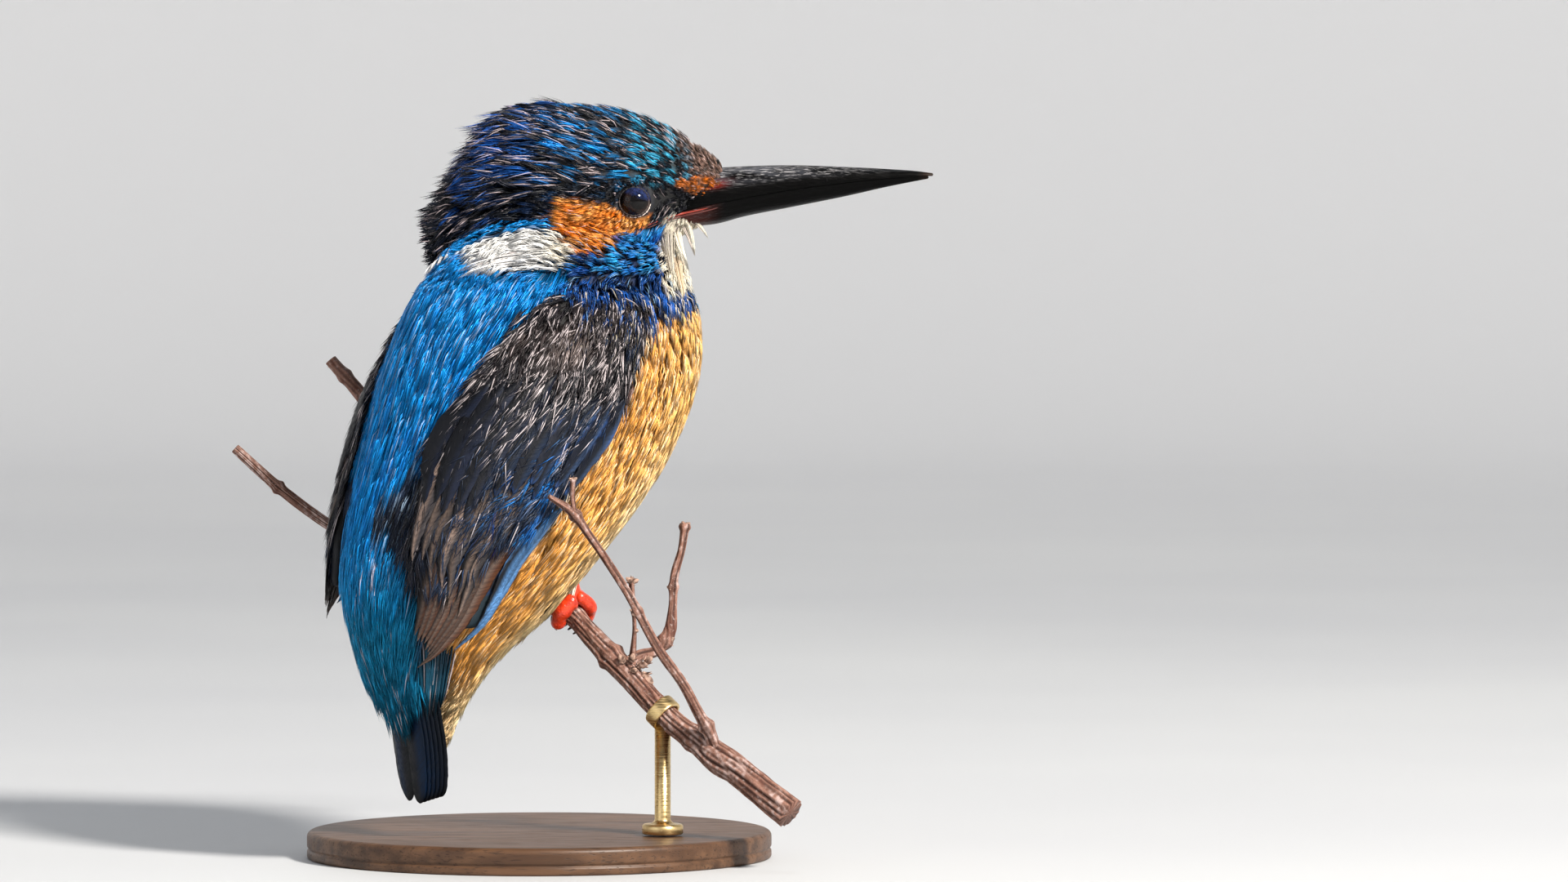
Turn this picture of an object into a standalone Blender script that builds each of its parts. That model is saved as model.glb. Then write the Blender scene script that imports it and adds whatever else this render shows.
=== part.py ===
"""A common kingfisher at life size, perched on a cut twig above a plain round display stand.

The bird's trunk is heading 40 degrees away from +X and the head is turned back, so that the bill points
along +X. Body places are given as forward (the trunk's own heading), left and height, in millimetres;
world() turns them into the row frame. +Z is up, and the origin is the centre of the base's underside.
"""

import math

import bmesh
import bpy
import numpy as np
from mathutils import Vector

MM = 0.001
GAP = 0.35  # between pieces that meet
HEADING = math.radians(40)  # of the trunk, from +X towards +Y

# Trunk and neck, whole: (height, forward, half depth, half width) of level oval sections, plumage included.
BODY = (
    (17.0, -25.0, 0.8, 2.0),  # tip of the undertail coverts
    (24.0, -23.6, 2.9, 4.2),
    (31.5, -22.1, 6.0, 6.4),
    (37.5, -22.3, 12.0, 9.4),  # vent
    (46.4, -19.3, 21.0, 14.4),
    (53.6, -15.6, 24.8, 18.0),
    (60.8, -11.3, 27.4, 20.4),
    (75.2, -3.4, 30.6, 22.3),  # widest, at the folded wings
    (89.6, 1.7, 30.6, 21.8),  # breast
    (96.8, 3.2, 28.4, 20.4),
    (102.5, 4.4, 25.6, 18.4),
    (108.5, 6.8, 21.8, 15.0),  # neck, inside the head's edge
    (112.5, 8.6, 15.6, 10.5),
)
NECK_HEIGHT = 98.0  # the level cut between trunk and neck
BODY_RINGS, BODY_AROUND = 21, 28

# Head: (along +X, middle height, half height, half width) of upright oval sections.
HEAD = (
    (-20.5, 107.6, 0.8, 1.4),  # tips of the nape's crest
    (-17.5, 109.6, 5.6, 5.2),
    (-12.5, 113.6, 10.2, 9.0),
    (-8.0, 117.0, 13.2, 11.2),
    (-2.0, 118.3, 14.5, 12.7),
    (6.0, 118.3, 14.6, 13.1),  # ear coverts
    (13.0, 118.4, 13.9, 11.9),
    (18.0, 118.5, 12.4, 9.9),  # eyes
    (22.5, 118.6, 10.4, 7.4),  # lores
    (27.0, 118.5, 7.8, 5.3),
    (31.0, 118.2, 5.2, 3.9),
    (33.0, 118.0, 3.3, 2.6),  # forehead's last feathers
)
HEAD_ACROSS = 3.5  # Y of the head's own middle plane
HEAD_RINGS, HEAD_AROUND = 17, 26

# Mandibles: (along +X, flat face's height, ridge's height, half width).
BILL_UPPER = (
    (22.0, 113.5, 119.6, 3.4),
    (26.0, 114.3, 120.9, 4.9),
    (31.0, 115.5, 121.5, 4.7),
    (36.0, 116.5, 121.8, 4.1),
    (44.0, 117.9, 122.0, 3.2),
    (54.0, 119.2, 121.7, 2.2),
    (62.0, 120.0, 121.3, 1.3),
    (67.0, 120.35, 121.0, 0.7),
    (69.4, 120.4, 120.7, 0.3),
)
BILL_LOWER = (
    (22.0, 113.1, 111.6, 3.3),
    (26.0, 113.9, 111.4, 4.7),
    (31.0, 115.1, 111.7, 4.5),
    (36.0, 116.1, 113.0, 3.9),
    (44.0, 117.5, 114.6, 3.0),
    (54.0, 118.8, 116.6, 2.0),
    (62.0, 119.6, 118.4, 1.1),
    (66.5, 119.95, 119.3, 0.6),
    (68.6, 120.0, 119.7, 0.3),
)
BILL_STEPS = 12

EYE_RADIUS = 3.1
EYE_ALONG, EYE_HEIGHT = 16.9, 115.8
EYE_OUT = 8.1  # of the eye's centre, from the head's middle plane

# Bed that the folded wings lie on: (height, forward, half depth, half width) of level ovals.
WING_BED = (
    (32.0, -24.0, 16.0, 18.0),
    (40.0, -22.2, 19.6, 18.3),
    (46.4, -19.3, 22.0, 18.8),
    (53.6, -15.6, 25.4, 19.6),
    (60.8, -11.3, 27.9, 21.0),
    (75.2, -3.4, 31.0, 22.7),
    (89.6, 1.7, 31.0, 22.2),
    (96.8, 3.2, 28.8, 20.8),
    (102.5, 4.4, 26.0, 18.8),
)
# Wing: (height, leading edge, trailing edge, thickness); edges in degrees round the body from straight ahead.
WING = (
    (35.4, 136.0, 141.0, 0.8),  # tips of the primaries
    (37.0, 124.0, 141.5, 1.3),
    (41.0, 109.0, 141.5, 1.8),
    (48.0, 101.5, 142.5, 2.2),
    (54.0, 99.0, 146.5, 2.4),
    (61.0, 94.5, 148.5, 2.6),
    (76.0, 85.0, 148.0, 2.9),
    (86.0, 80.0, 138.0, 3.0),
    (94.0, 79.0, 130.0, 2.8),
    (98.5, 84.0, 122.0, 2.0),  # shoulder
    (100.2, 95.0, 112.0, 1.0),
)
WING_EDGE = 0.6  # thickness at the edges
WING_RINGS, WING_ACROSS = 17, 9
LEFT_WING_LIFT = 7.0  # of the left wing's tip above the right's
SHOULDER_HEIGHT = 90.0  # above it the two wings match

# Tail with its upper coverts: (height, forward, half thickness, half width) of level oval sections.
TAIL = (
    (11.2, -26.7, 0.5, 3.0),
    (13.4, -27.0, 0.7, 6.0),
    (24.0, -28.3, 1.5, 7.0),
    (33.0, -30.2, 3.0, 7.0),
    (42.0, -33.2, 4.6, 6.8),
    (49.0, -35.2, 3.8, 5.2),
    (51.5, -35.4, 1.6, 2.6),
)
TAIL_RINGS, TAIL_AROUND = 11, 16

# Perch: the main twig's route (X, Y, Z, radius), from its lower cut end up and behind the bird.
PERCH = (
    (44.3, -29.5, 10.0, 2.7),
    (40.2, -27.0, 13.1, 2.6),
    (35.0, -22.8, 17.0, 2.5),
    (31.4, -20.0, 19.2, 2.6),  # lower fork
    (28.3, -17.6, 21.6, 2.1),
    (24.1, -15.0, 24.6, 2.0),
    (19.8, -12.5, 28.6, 2.0),
    (16.4, -10.4, 32.3, 2.05),  # upper fork
    (13.2, -8.6, 35.5, 2.1),
    (9.6, -6.2, 39.2, 1.85),
    (5.7, -3.0, 43.2, 1.7),  # right foot
    (-1.8, 5.2, 45.2, 1.65),  # left foot
    (-10.5, 13.8, 47.2, 1.5),
    (-22.0, 19.2, 51.4, 1.3),
    (-36.4, 21.2, 56.8, 1.0),
    (-47.4, 21.8, 64.6, 0.95),
    (-55.0, 22.2, 71.4, 0.85),
)
# Side shoots, from a fork to the tip.
FRONT_SHOOT = (
    (31.4, -20.2, 19.5, 1.1),
    (30.2, -21.4, 23.6, 1.1),
    (28.6, -22.0, 26.4, 0.95),
    (25.6, -23.0, 32.1, 0.85),
    (21.8, -24.0, 37.5, 0.85),
    (15.8, -25.3, 48.4, 0.75),
    (9.3, -27.0, 58.3, 0.7),
    (6.7, -28.2, 62.0, 0.8),
    (2.6, -31.0, 65.0, 0.4),
)
FRONT_SPUR = ((6.9, -28.4, 62.0, 0.5), (6.6, -29.2, 65.0, 0.45), (6.7, -29.9, 68.0, 0.5))
BACK_SHOOT = (
    (15.3, -9.4, 34.3, 1.3),
    (17.8, -7.6, 36.0, 1.0),
    (20.6, -6.0, 36.7, 0.95),
    (23.0, -4.6, 40.0, 1.1),
    (23.6, -3.6, 44.3, 0.75),
    (23.9, -3.0, 49.9, 0.75),
    (25.2, -2.6, 54.7, 0.65),
    (25.8, -2.0, 59.0, 0.8),
)
THIN_SHOOT = ((16.6, -8.8, 35.2, 0.7), (17.0, -10.6, 40.5, 0.4), (16.5, -13.0, 49.5, 0.5))
LEFT_SHOOT = (
    (-21.0, 18.8, 51.0, 1.0),
    (-24.5, 19.6, 58.0, 1.1),
    (-27.0, 20.2, 70.0, 1.1),
    (-31.0, 21.0, 79.0, 1.25),
    (-37.9, 22.2, 87.2, 1.1),
)
TWIG_STEP = 3.0  # between the points of a twig's centreline, in millimetres

# Feet: a tarsus down to the twig, three toes over its front and one behind.
FEET = {"right": 5.2, "left": -1.8}  # where each grips the twig, along +X
TOE_RADIUS = 1.35
TOE_SPACING = 2.2
TARSUS_RADIUS = 1.3
TARSUS_LENGTH = 5.6
FRONT_TOE_TURN, HIND_TOE_TURN = 118.0, 108.0  # how far each toe goes round the twig, in degrees
CLAW_LENGTH, CLAW_RADIUS = 2.6, 0.55

BASE_RADIUS, BASE_HEIGHT, BASE_BEVEL = 41.0, 4.8, 1.0
ROD_RADIUS, ROD_ALONG = 1.4, 22.0  # the rod stands under the twig at this X
ROD_FOOT_RADIUS, ROD_FOOT_HEIGHT = 3.6, 1.8
BAND_WIDTH, BAND_THICKNESS = 2.4, 0.7  # of the rod's band round the twig


def clear_scene():
    for old in list(bpy.data.objects):
        bpy.data.objects.remove(old)


def collection(name, hidden=False):
    made = bpy.data.collections.new(name)
    bpy.context.scene.collection.children.link(made)
    made.hide_render = hidden
    return made


def material(name, colour, roughness, metallic=0.0):
    made = bpy.data.materials.new(name)
    made.use_nodes = True
    shader = made.node_tree.nodes["Principled BSDF"]
    shader.inputs["Base Color"].default_value = (*colour, 1.0)
    shader.inputs["Roughness"].default_value = roughness
    shader.inputs["Metallic"].default_value = metallic
    return made


def through(table, count):
    """Count rows along a smooth curve through a table's rows, whose first column always rises or falls."""
    rows = np.array(table, float)
    if rows[0, 0] > rows[-1, 0]:
        rows = rows[::-1]
    key = rows[:, 0]
    slope = np.gradient(rows, key, axis=0)
    at = np.interp(np.linspace(0, 1, count), np.linspace(0, 1, len(key)), key)
    i = np.clip(np.searchsorted(key, at, side="right") - 1, 0, len(key) - 2)
    span = key[i + 1] - key[i]
    t = ((at - key[i]) / span)[:, None]
    span = span[:, None]
    return (
        rows[i] * (1 + 2 * t) * (1 - t) ** 2
        + slope[i] * span * t * (1 - t) ** 2
        + rows[i + 1] * t**2 * (3 - 2 * t)
        + slope[i + 1] * span * t**2 * (t - 1)
    )


def world(forward, left, height):
    """Row frame points of body places, all in millimetres."""
    along = forward * math.cos(HEADING) - left * math.sin(HEADING)
    across = forward * math.sin(HEADING) + left * math.cos(HEADING)
    return np.stack([along, across, height + 0 * along], axis=-1)


def mesh_object(name, points, faces, finish, where):
    mesh = bpy.data.meshes.new(name)
    mesh.from_pydata((np.asarray(points) * MM).tolist(), [], faces)
    made = bpy.data.objects.new(name, mesh)
    where.objects.link(made)
    tidy = bmesh.new()
    tidy.from_mesh(mesh)
    bmesh.ops.recalc_face_normals(tidy, faces=tidy.faces)
    tidy.to_mesh(mesh)
    tidy.free()
    mesh.shade_smooth()
    mesh.set_sharp_from_angle(angle=math.radians(50))
    mesh.materials.append(finish)
    return made


def loft(name, rings, finish, where):
    """A closed skin over rings of equal point counts, each end closed by a fan to its middle."""
    rings = np.asarray(rings)
    count, around = rings.shape[:2]
    points = np.concatenate([rings.reshape(-1, 3), [rings[0].mean(0), rings[-1].mean(0)]])
    faces = []
    for i in range(count - 1):
        for j in range(around):
            k = (j + 1) % around
            faces.append((i * around + j, i * around + k, (i + 1) * around + k, (i + 1) * around + j))
    last = (count - 1) * around
    for j in range(around):
        k = (j + 1) % around
        faces.append((count * around, k, j))
        faces.append((count * around + 1, last + j, last + k))
    return mesh_object(name, points, faces, finish, where)


def level_ovals(table, count, around, grow=0.0):
    """Rings of a body table: each a level ellipse, made bigger all round by grow."""
    turn = np.linspace(0, 2 * math.pi, around, endpoint=False)
    rings = []
    for height, forward, depth, width in through(table, count):
        rings.append(
            world(forward + (depth + grow) * np.cos(turn), (width + grow) * np.sin(turn), height)
        )
    return rings


def body_solid(name, finish, where, grow=0.0):
    return loft(name, level_ovals(BODY, BODY_RINGS, BODY_AROUND, grow), finish, where)


def head_solid(name, finish, where, grow=0.0):
    turn = np.linspace(0, 2 * math.pi, HEAD_AROUND, endpoint=False)
    rings = []
    for along, middle, high, wide in through(HEAD, HEAD_RINGS):
        across = HEAD_ACROSS + (wide + grow) * np.sin(turn)
        height = middle + (high + grow) * np.cos(turn)
        rings.append(np.stack([along + 0 * turn, across, height], axis=-1))
    rings[0][:, 0] -= grow
    rings[-1][:, 0] += grow
    return loft(name, rings, finish, where)


def bill_solid(name, table, finish, where, grow=0.0):
    """One mandible: arched sections on a flat face, made bigger all round by grow."""
    turn = np.linspace(0, math.pi, 11)
    rings = []
    for along, flat, ridge, wide in through(table, BILL_STEPS):
        out = 1 if ridge > flat else -1
        across = HEAD_ACROSS + (wide + grow) * np.cos(turn)
        height = flat - out * grow + (ridge - flat + 2 * out * grow) * np.sin(turn) ** 1.25
        rings.append(np.stack([along + 0 * turn, across, height], axis=-1))
    rings[0][:, 0] -= grow
    return loft(name, rings, finish, where)


def wing_solid(name, side, finish, where):
    """A folded wing: level arcs laid over the bed, thickest in the middle; side is +1 for the left one."""
    lift = LEFT_WING_LIFT if side > 0 else 0.0
    across = np.linspace(0, 1, WING_ACROSS)
    bed = np.array(WING_BED)
    rings = []
    for height, lead, trail, thick in through(WING, WING_RINGS):
        height += lift * max(0.0, SHOULDER_HEIGHT - height) / (SHOULDER_HEIGHT - WING[0][0])
        forward, depth, width = (np.interp(height, bed[:, 0], bed[:, k]) for k in (1, 2, 3))
        turn = np.radians(lead + (trail - lead) * across)
        rise = WING_EDGE + max(0.0, thick - WING_EDGE) * np.sqrt(4 * across * (1 - across))
        outer = world(
            forward + (depth + GAP + rise) * np.cos(turn), side * (width + GAP + rise) * np.sin(turn), height
        )
        inner = world(forward + (depth + GAP) * np.cos(turn), side * (width + GAP) * np.sin(turn), height)
        rings.append(np.concatenate([outer, inner[::-1]]))
    return loft(name, rings, finish, where)


def tail_solid(name, finish, where, grow=0.0):
    return loft(name, level_ovals(TAIL, TAIL_RINGS, TAIL_AROUND, grow), finish, where)


def ball(name, centre, radius, finish, where, segments=16):
    bpy.ops.mesh.primitive_uv_sphere_add(
        segments=segments, ring_count=segments // 2, radius=radius * MM, location=np.array(centre) * MM
    )
    made = bpy.context.object
    made.name = name
    return adopt(made, finish, where)


def adopt(made, finish, where):
    for old in list(made.users_collection):
        old.objects.unlink(made)
    where.objects.link(made)
    made.data.shade_smooth()
    made.data.materials.append(finish)
    return made


def cylinder(name, radius, low, high, place, finish, where, segments=32):
    bpy.ops.mesh.primitive_cylinder_add(
        vertices=segments,
        radius=radius * MM,
        depth=(high - low) * MM,
        location=(place[0] * MM, place[1] * MM, (low + high) / 2 * MM),
    )
    made = bpy.context.object
    made.name = name
    made = adopt(made, finish, where)
    made.data.set_sharp_from_angle(angle=math.radians(40))
    return made


def evenly(route, step):
    """Points a step apart along a smooth curve through a route of (x, y, z, radius)."""
    rows = np.array(route, float)
    lengths = np.linalg.norm(np.diff(rows[:, :3], axis=0), axis=1)
    key = np.concatenate([[0], np.cumsum(lengths)])
    keyed = np.column_stack([key, rows])
    fine = through(keyed, 12 * len(rows))
    count = max(3, int(key[-1] / step) + 1)
    at = np.linspace(0, key[-1], count)
    return np.stack([np.interp(at, fine[:, 0], fine[:, k]) for k in range(1, 5)], axis=-1)


def tube(name, rows, finish, where, sides=2):
    """A round bar along rows of (x, y, z, radius), made a mesh with its caps welded."""
    curve = bpy.data.curves.new(name, "CURVE")
    curve.dimensions = "3D"
    curve.bevel_depth = MM
    curve.bevel_resolution = sides
    curve.use_fill_caps = True
    line = curve.splines.new("POLY")
    line.points.add(len(rows) - 1)
    for point, row in zip(line.points, rows):
        point.co = (*(Vector(row[:3]) * MM), 1.0)
        point.radius = row[3]
    guide = bpy.data.objects.new(name + "_line", curve)
    bpy.context.scene.collection.objects.link(guide)
    graph = bpy.context.evaluated_depsgraph_get()
    mesh = bpy.data.meshes.new_from_object(guide.evaluated_get(graph))
    bpy.data.objects.remove(guide)
    weld = bmesh.new()
    weld.from_mesh(mesh)
    bmesh.ops.remove_doubles(weld, verts=weld.verts, dist=1e-6)
    bmesh.ops.recalc_face_normals(weld, faces=weld.faces)
    weld.to_mesh(mesh)
    weld.free()
    mesh.name = name
    mesh.materials.clear()
    made = bpy.data.objects.new(name, mesh)
    where.objects.link(made)
    mesh.shade_smooth()
    mesh.materials.append(finish)
    return made


def combine(made, other, operation):
    """A Boolean of other on made, with other kept out of the render."""
    step = made.modifiers.new(operation.lower() + "_" + other.name, "BOOLEAN")
    step.operation = operation
    step.object = other
    other.hide_render = True
    other.display_type = "WIRE"


def wider(rows):
    """A tube's rows with room all round it."""
    rows = np.array(rows, float)
    first, last = rows[0, :3] - rows[1, :3], rows[-1, :3] - rows[-2, :3]
    rows[0, :3] += GAP * first / np.linalg.norm(first)
    rows[-1, :3] += GAP * last / np.linalg.norm(last)
    rows[:, 3] += GAP
    return rows


def twig_at(place):
    """The main twig's middle, direction and radius at a distance along it from its lower cut end."""
    rows = evenly(PERCH, 0.5)
    key = 0.5 * np.arange(len(rows))
    ahead, behind = (np.array([np.interp(place + d, key, rows[:, k]) for k in range(3)]) for d in (0.6, -0.6))
    middle = np.array([np.interp(place, key, rows[:, k]) for k in range(3)])
    return middle, (ahead - behind) / np.linalg.norm(ahead - behind), np.interp(place, key, rows[:, 3])


def grip(place, turn, out):
    """A point clear of the twig by out, at turn degrees round it: 0 is to the bird's front and 90 is up."""
    middle, along, radius = twig_at(place)
    ahead = np.array([math.cos(HEADING), math.sin(HEADING), 0.0])
    ahead -= along * (ahead @ along)
    ahead /= np.linalg.norm(ahead)
    up = np.cross(ahead, along)
    up = up if up[2] > 0 else -up
    turn = math.radians(turn)
    return middle + (radius + out) * (ahead * math.cos(turn) + up * math.sin(turn))


def toe_rows(place, slide, start, end):
    """A toe wrapped round the twig from one angle to another, away from its fellows as it goes."""
    rows = []
    for t in np.linspace(0, 1, 7):
        spread = slide * min(1.0, 0.3 + 1.4 * t)
        point = grip(place + spread, start + (end - start) * t, GAP + TOE_RADIUS)
        rows.append((*point, TOE_RADIUS * (1 - 0.28 * t)))
    return rows


def claw_rows(place, slide, end, sign):
    """A claw that goes on round the twig from a toe's tip, thinning to a point."""
    turned = math.degrees(CLAW_LENGTH / 3.7)
    rows = []
    for t in np.linspace(0, 1, 5):
        point = grip(place + slide, end + sign * (10.0 + t * turned), GAP + TOE_RADIUS + 0.4 * t)
        rows.append((*point, CLAW_RADIUS * (1 - 0.62 * t)))
    return rows


def make_foot(side, trunk, finishes, parts, cutters):
    """A foot round the twig, with its four claws, and the room it needs in the belly's plumage."""
    rows = evenly(PERCH, 0.5)
    place = 0.5 * int(np.argmin(np.abs(rows[:, 0] - FEET[side])))
    sole = grip(place, 90.0, GAP + TOE_RADIUS)
    ankle = sole + np.array([-1.2, -1.0, TARSUS_LENGTH])
    tarsus = np.array([(*(sole + (ankle - sole) * t), TARSUS_RADIUS) for t in np.linspace(-0.1, 1, 5)])
    foot = tube("leg_" + side, tarsus, finishes["foot_skin"], parts, sides=2)
    toes = [(k * TOE_SPACING, 97.0 + 3 * k, 95.0 - FRONT_TOE_TURN, -1) for k in (-1, 0.04, 1)]
    toes.append((0.0, 85.0, 85.0 + HIND_TOE_TURN, 1))
    for number, (slide, start, end, sign) in enumerate(toes, 1):
        rows = toe_rows(place, slide, start, end)
        toe = tube(f"toe_{side}_{number}", rows, finishes["foot_skin"], cutters, sides=2)
        combine(foot, toe, "UNION")
        tube(f"claw_{side}_{number}", claw_rows(place, slide, end, sign), finishes["horn"], parts, sides=1)
        room = tube(f"toe_room_{side}_{number}", wider(rows), finishes["foot_skin"], cutters, sides=2)
        combine(trunk, room, "DIFFERENCE")
    room = tube("leg_room_" + side, wider(tarsus), finishes["foot_skin"], cutters, sides=2)
    combine(trunk, room, "DIFFERENCE")


def make_perch(finish, parts, cutters):
    """The main twig, and each side shoot cut clear of it at its own foot."""
    main = evenly(PERCH, TWIG_STEP)
    tube("perch_twig", main, finish, parts)
    room = tube("perch_room", wider(main), finish, cutters)
    for name, routes in (
        ("perch_front_shoot", (FRONT_SHOOT, FRONT_SPUR)),
        ("perch_back_shoot", (BACK_SHOOT, THIN_SHOOT)),
        ("perch_left_shoot", (LEFT_SHOOT,)),
    ):
        shoot = tube(name, evenly(routes[0], TWIG_STEP), finish, parts, sides=1)
        for number, route in enumerate(routes[1:]):
            spur = tube(f"{name}_spur_{number}", evenly(route, TWIG_STEP), finish, cutters, sides=1)
            combine(shoot, spur, "UNION")
        combine(shoot, room, "DIFFERENCE")


def make_stand(finishes, parts, cutters):
    """A round base, and a rod whose band goes round the main twig."""
    base = cylinder("stand_base", BASE_RADIUS, 0.0, BASE_HEIGHT, (0, 0), finishes["base_wood"], parts, 48)
    edge = base.modifiers.new("rounded_edge", "BEVEL")
    edge.width = BASE_BEVEL * MM
    edge.segments = 2
    edge.limit_method = "ANGLE"
    rows = evenly(PERCH, 0.5)
    held = rows[int(np.argmin(np.abs(rows[:, 0] - ROD_ALONG)))]
    floor = BASE_HEIGHT + GAP
    step = floor + ROD_FOOT_HEIGHT
    profile = [
        (ROD_FOOT_RADIUS, floor),
        (ROD_FOOT_RADIUS, step - 0.6),
        (ROD_FOOT_RADIUS - 0.7, step),
        (ROD_RADIUS, step + 0.4),
        (ROD_RADIUS, held[2]),
    ]
    turn = np.linspace(0, 2 * math.pi, 16, endpoint=False)
    rings = [
        np.stack([held[0] + r * np.cos(turn), held[1] + r * np.sin(turn), z + 0 * turn], axis=-1)
        for r, z in profile
    ]
    rod = loft("stand_rod", rings, finishes["brass"], parts)
    middle, along, radius = twig_at(0.5 * int(np.argmin(np.abs(rows[:, 0] - ROD_ALONG))))
    ends = [(*(middle + along * d), radius + GAP + BAND_THICKNESS) for d in (-BAND_WIDTH / 2, BAND_WIDTH / 2)]
    combine(rod, tube("band", ends, finishes["brass"], cutters, sides=4), "UNION")
    combine(rod, bpy.data.objects["perch_room"], "DIFFERENCE")


def main():
    clear_scene()
    parts = collection("kingfisher")
    cutters = collection("cutters", hidden=True)
    finishes = {
        "plumage": material("plumage", (0.03, 0.16, 0.42), 0.5),
        "wing_plumage": material("wing_plumage", (0.03, 0.08, 0.16), 0.5),
        "horn": material("horn", (0.02, 0.02, 0.022), 0.3),
        "eye": material("eye", (0.02, 0.012, 0.01), 0.05),
        "foot_skin": material("foot_skin", (0.75, 0.12, 0.03), 0.35),
        "bark": material("bark", (0.35, 0.22, 0.15), 0.8),
        "base_wood": material("base_wood", (0.1, 0.055, 0.03), 0.45),
        "brass": material("brass", (0.7, 0.5, 0.25), 0.3, 1.0),
    }

    trunk = body_solid("trunk", finishes["plumage"], parts)
    neck = body_solid("neck", finishes["plumage"], parts)
    head = head_solid("head", finishes["plumage"], parts)
    tail_solid("tail", finishes["wing_plumage"], parts)
    for side, sign in (("left", 1), ("right", -1)):
        wing_solid("wing_" + side, sign, finishes["wing_plumage"], parts)

    # Trunk and neck are one shape, parted by a level slab. The head's and tail's places are cut from them.
    tall = 200.0
    above = cylinder("above_neck_cut", 90, NECK_HEIGHT - GAP / 2, tall, (0, 0), finishes["plumage"], cutters)
    below = cylinder("below_neck_cut", 90, -20, NECK_HEIGHT + GAP / 2, (0, 0), finishes["plumage"], cutters)
    combine(trunk, above, "DIFFERENCE")
    combine(neck, below, "DIFFERENCE")
    head_room = head_solid("head_room", finishes["plumage"], cutters, GAP)
    combine(neck, head_room, "DIFFERENCE")
    combine(trunk, tail_solid("tail_room", finishes["plumage"], cutters, GAP), "DIFFERENCE")

    # Bill and eyes sit in the head.
    for name, table in (("bill_upper", BILL_UPPER), ("bill_lower", BILL_LOWER)):
        bill_solid(name, table, finishes["horn"], parts)
        combine(head, bill_solid(name + "_room", table, finishes["horn"], cutters, GAP), "DIFFERENCE")
    for side, sign in (("left", 1), ("right", -1)):
        centre = (EYE_ALONG, HEAD_ACROSS + sign * EYE_OUT, EYE_HEIGHT)
        ball("eye_" + side, centre, EYE_RADIUS, finishes["eye"], parts)
        room = ball("eye_room_" + side, centre, EYE_RADIUS + GAP, finishes["eye"], cutters, 16)
        combine(head, room, "DIFFERENCE")

    for side in FEET:
        make_foot(side, trunk, finishes, parts, cutters)
    make_perch(finishes["bark"], parts, cutters)
    make_stand(finishes, parts, cutters)


main()
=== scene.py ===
"""Looks of a perched kingfisher: skin under wet feather locks, vanes, bill, eyes, feet, twig and stand.

Lengths are in millimetres until a mesh is made. Body places are given as height and turn, where turn 0 is
the breast, positive turns go round by the bird's left and half a turn is the back. Head places are given as
the distance along +X and a turn from the crown, positive towards +Y. The head's middle plane lies along +X.
"""

import math

import bpy
import numpy as np
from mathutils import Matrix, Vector

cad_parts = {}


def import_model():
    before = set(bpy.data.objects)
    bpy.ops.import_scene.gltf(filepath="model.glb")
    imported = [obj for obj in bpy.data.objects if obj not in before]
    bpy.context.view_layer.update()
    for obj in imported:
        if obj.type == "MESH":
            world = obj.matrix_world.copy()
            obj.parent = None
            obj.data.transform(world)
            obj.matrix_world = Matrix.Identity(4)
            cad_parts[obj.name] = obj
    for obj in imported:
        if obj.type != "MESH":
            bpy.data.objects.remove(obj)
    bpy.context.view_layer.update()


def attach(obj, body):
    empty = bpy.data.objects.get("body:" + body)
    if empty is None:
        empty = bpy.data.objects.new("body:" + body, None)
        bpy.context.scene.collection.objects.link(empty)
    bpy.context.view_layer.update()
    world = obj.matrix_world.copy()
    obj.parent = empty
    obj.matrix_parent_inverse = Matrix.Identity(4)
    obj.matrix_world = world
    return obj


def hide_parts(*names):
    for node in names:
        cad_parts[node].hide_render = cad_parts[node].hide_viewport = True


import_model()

MM = 0.001
FULL = 2 * math.pi
GAP = 0.35
HEADING = math.radians(40)
SEED = 20
BLACK = (0.0, 0.0, 0.0)
# How far apart points along a twig stand, and how many steps a lock's path takes.
TWIG_STEP = 0.25
LOCK_STEPS = 6
# How far a strand's outer ridge stands up, over its half width, and the share of the UV map it takes.
STRAND_RISE = 0.8
UV_PATCH = 0.003
# The opening between the lids is a little lower than wide, and the coat keeps this far from its middle.
EYE_SQUASH = 0.94
EYE_CLEAR = 2.65
# The skin's remeshing cell.
SKIN_CELL = 0.8
# The floor: how far it is flat, the radius of its bend into the wall, and the wall's top.
FLAT_REACH, BEND_RADIUS, WALL_TOP = 1800, 800, 3000.0

# The frame's own tables: (height, forward, half depth, half width) of the trunk's level ovals.
BODY = (
    (17.0, -25.0, 0.8, 2.0),
    (24.0, -23.6, 2.9, 4.2),
    (31.5, -22.1, 6.0, 6.4),
    (37.5, -22.3, 12.0, 9.4),
    (46.4, -19.3, 21.0, 14.4),
    (53.6, -15.6, 24.8, 18.0),
    (60.8, -11.3, 27.4, 20.4),
    (75.2, -3.4, 30.6, 22.3),
    (89.6, 1.7, 30.6, 21.8),
    (96.8, 3.2, 28.4, 20.4),
    (102.5, 4.4, 25.6, 18.4),
    (108.5, 6.8, 21.8, 15.0),
    (112.5, 8.6, 15.6, 10.5),
    (114.0, 9.0, 11.0, 7.0),
    (115.5, 9.2, 5.0, 3.0),
)
# The back, whose long lower streams run on over the tail's root.
BACK = (
    (9.0, -26.4, 1.0, 5.6),
    (14.0, -26.9, 1.4, 7.2),
    (20.0, -27.7, 2.4, 7.9),
    (27.0, -28.6, 3.9, 8.3),
    (33.0, -29.3, 6.6, 9.2),
    (38.0, -27.2, 11.0, 10.8),
    (42.0, -24.0, 15.4, 12.6),
    (46.4, -19.9, 20.6, 14.6),
) + BODY[5:]
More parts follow.
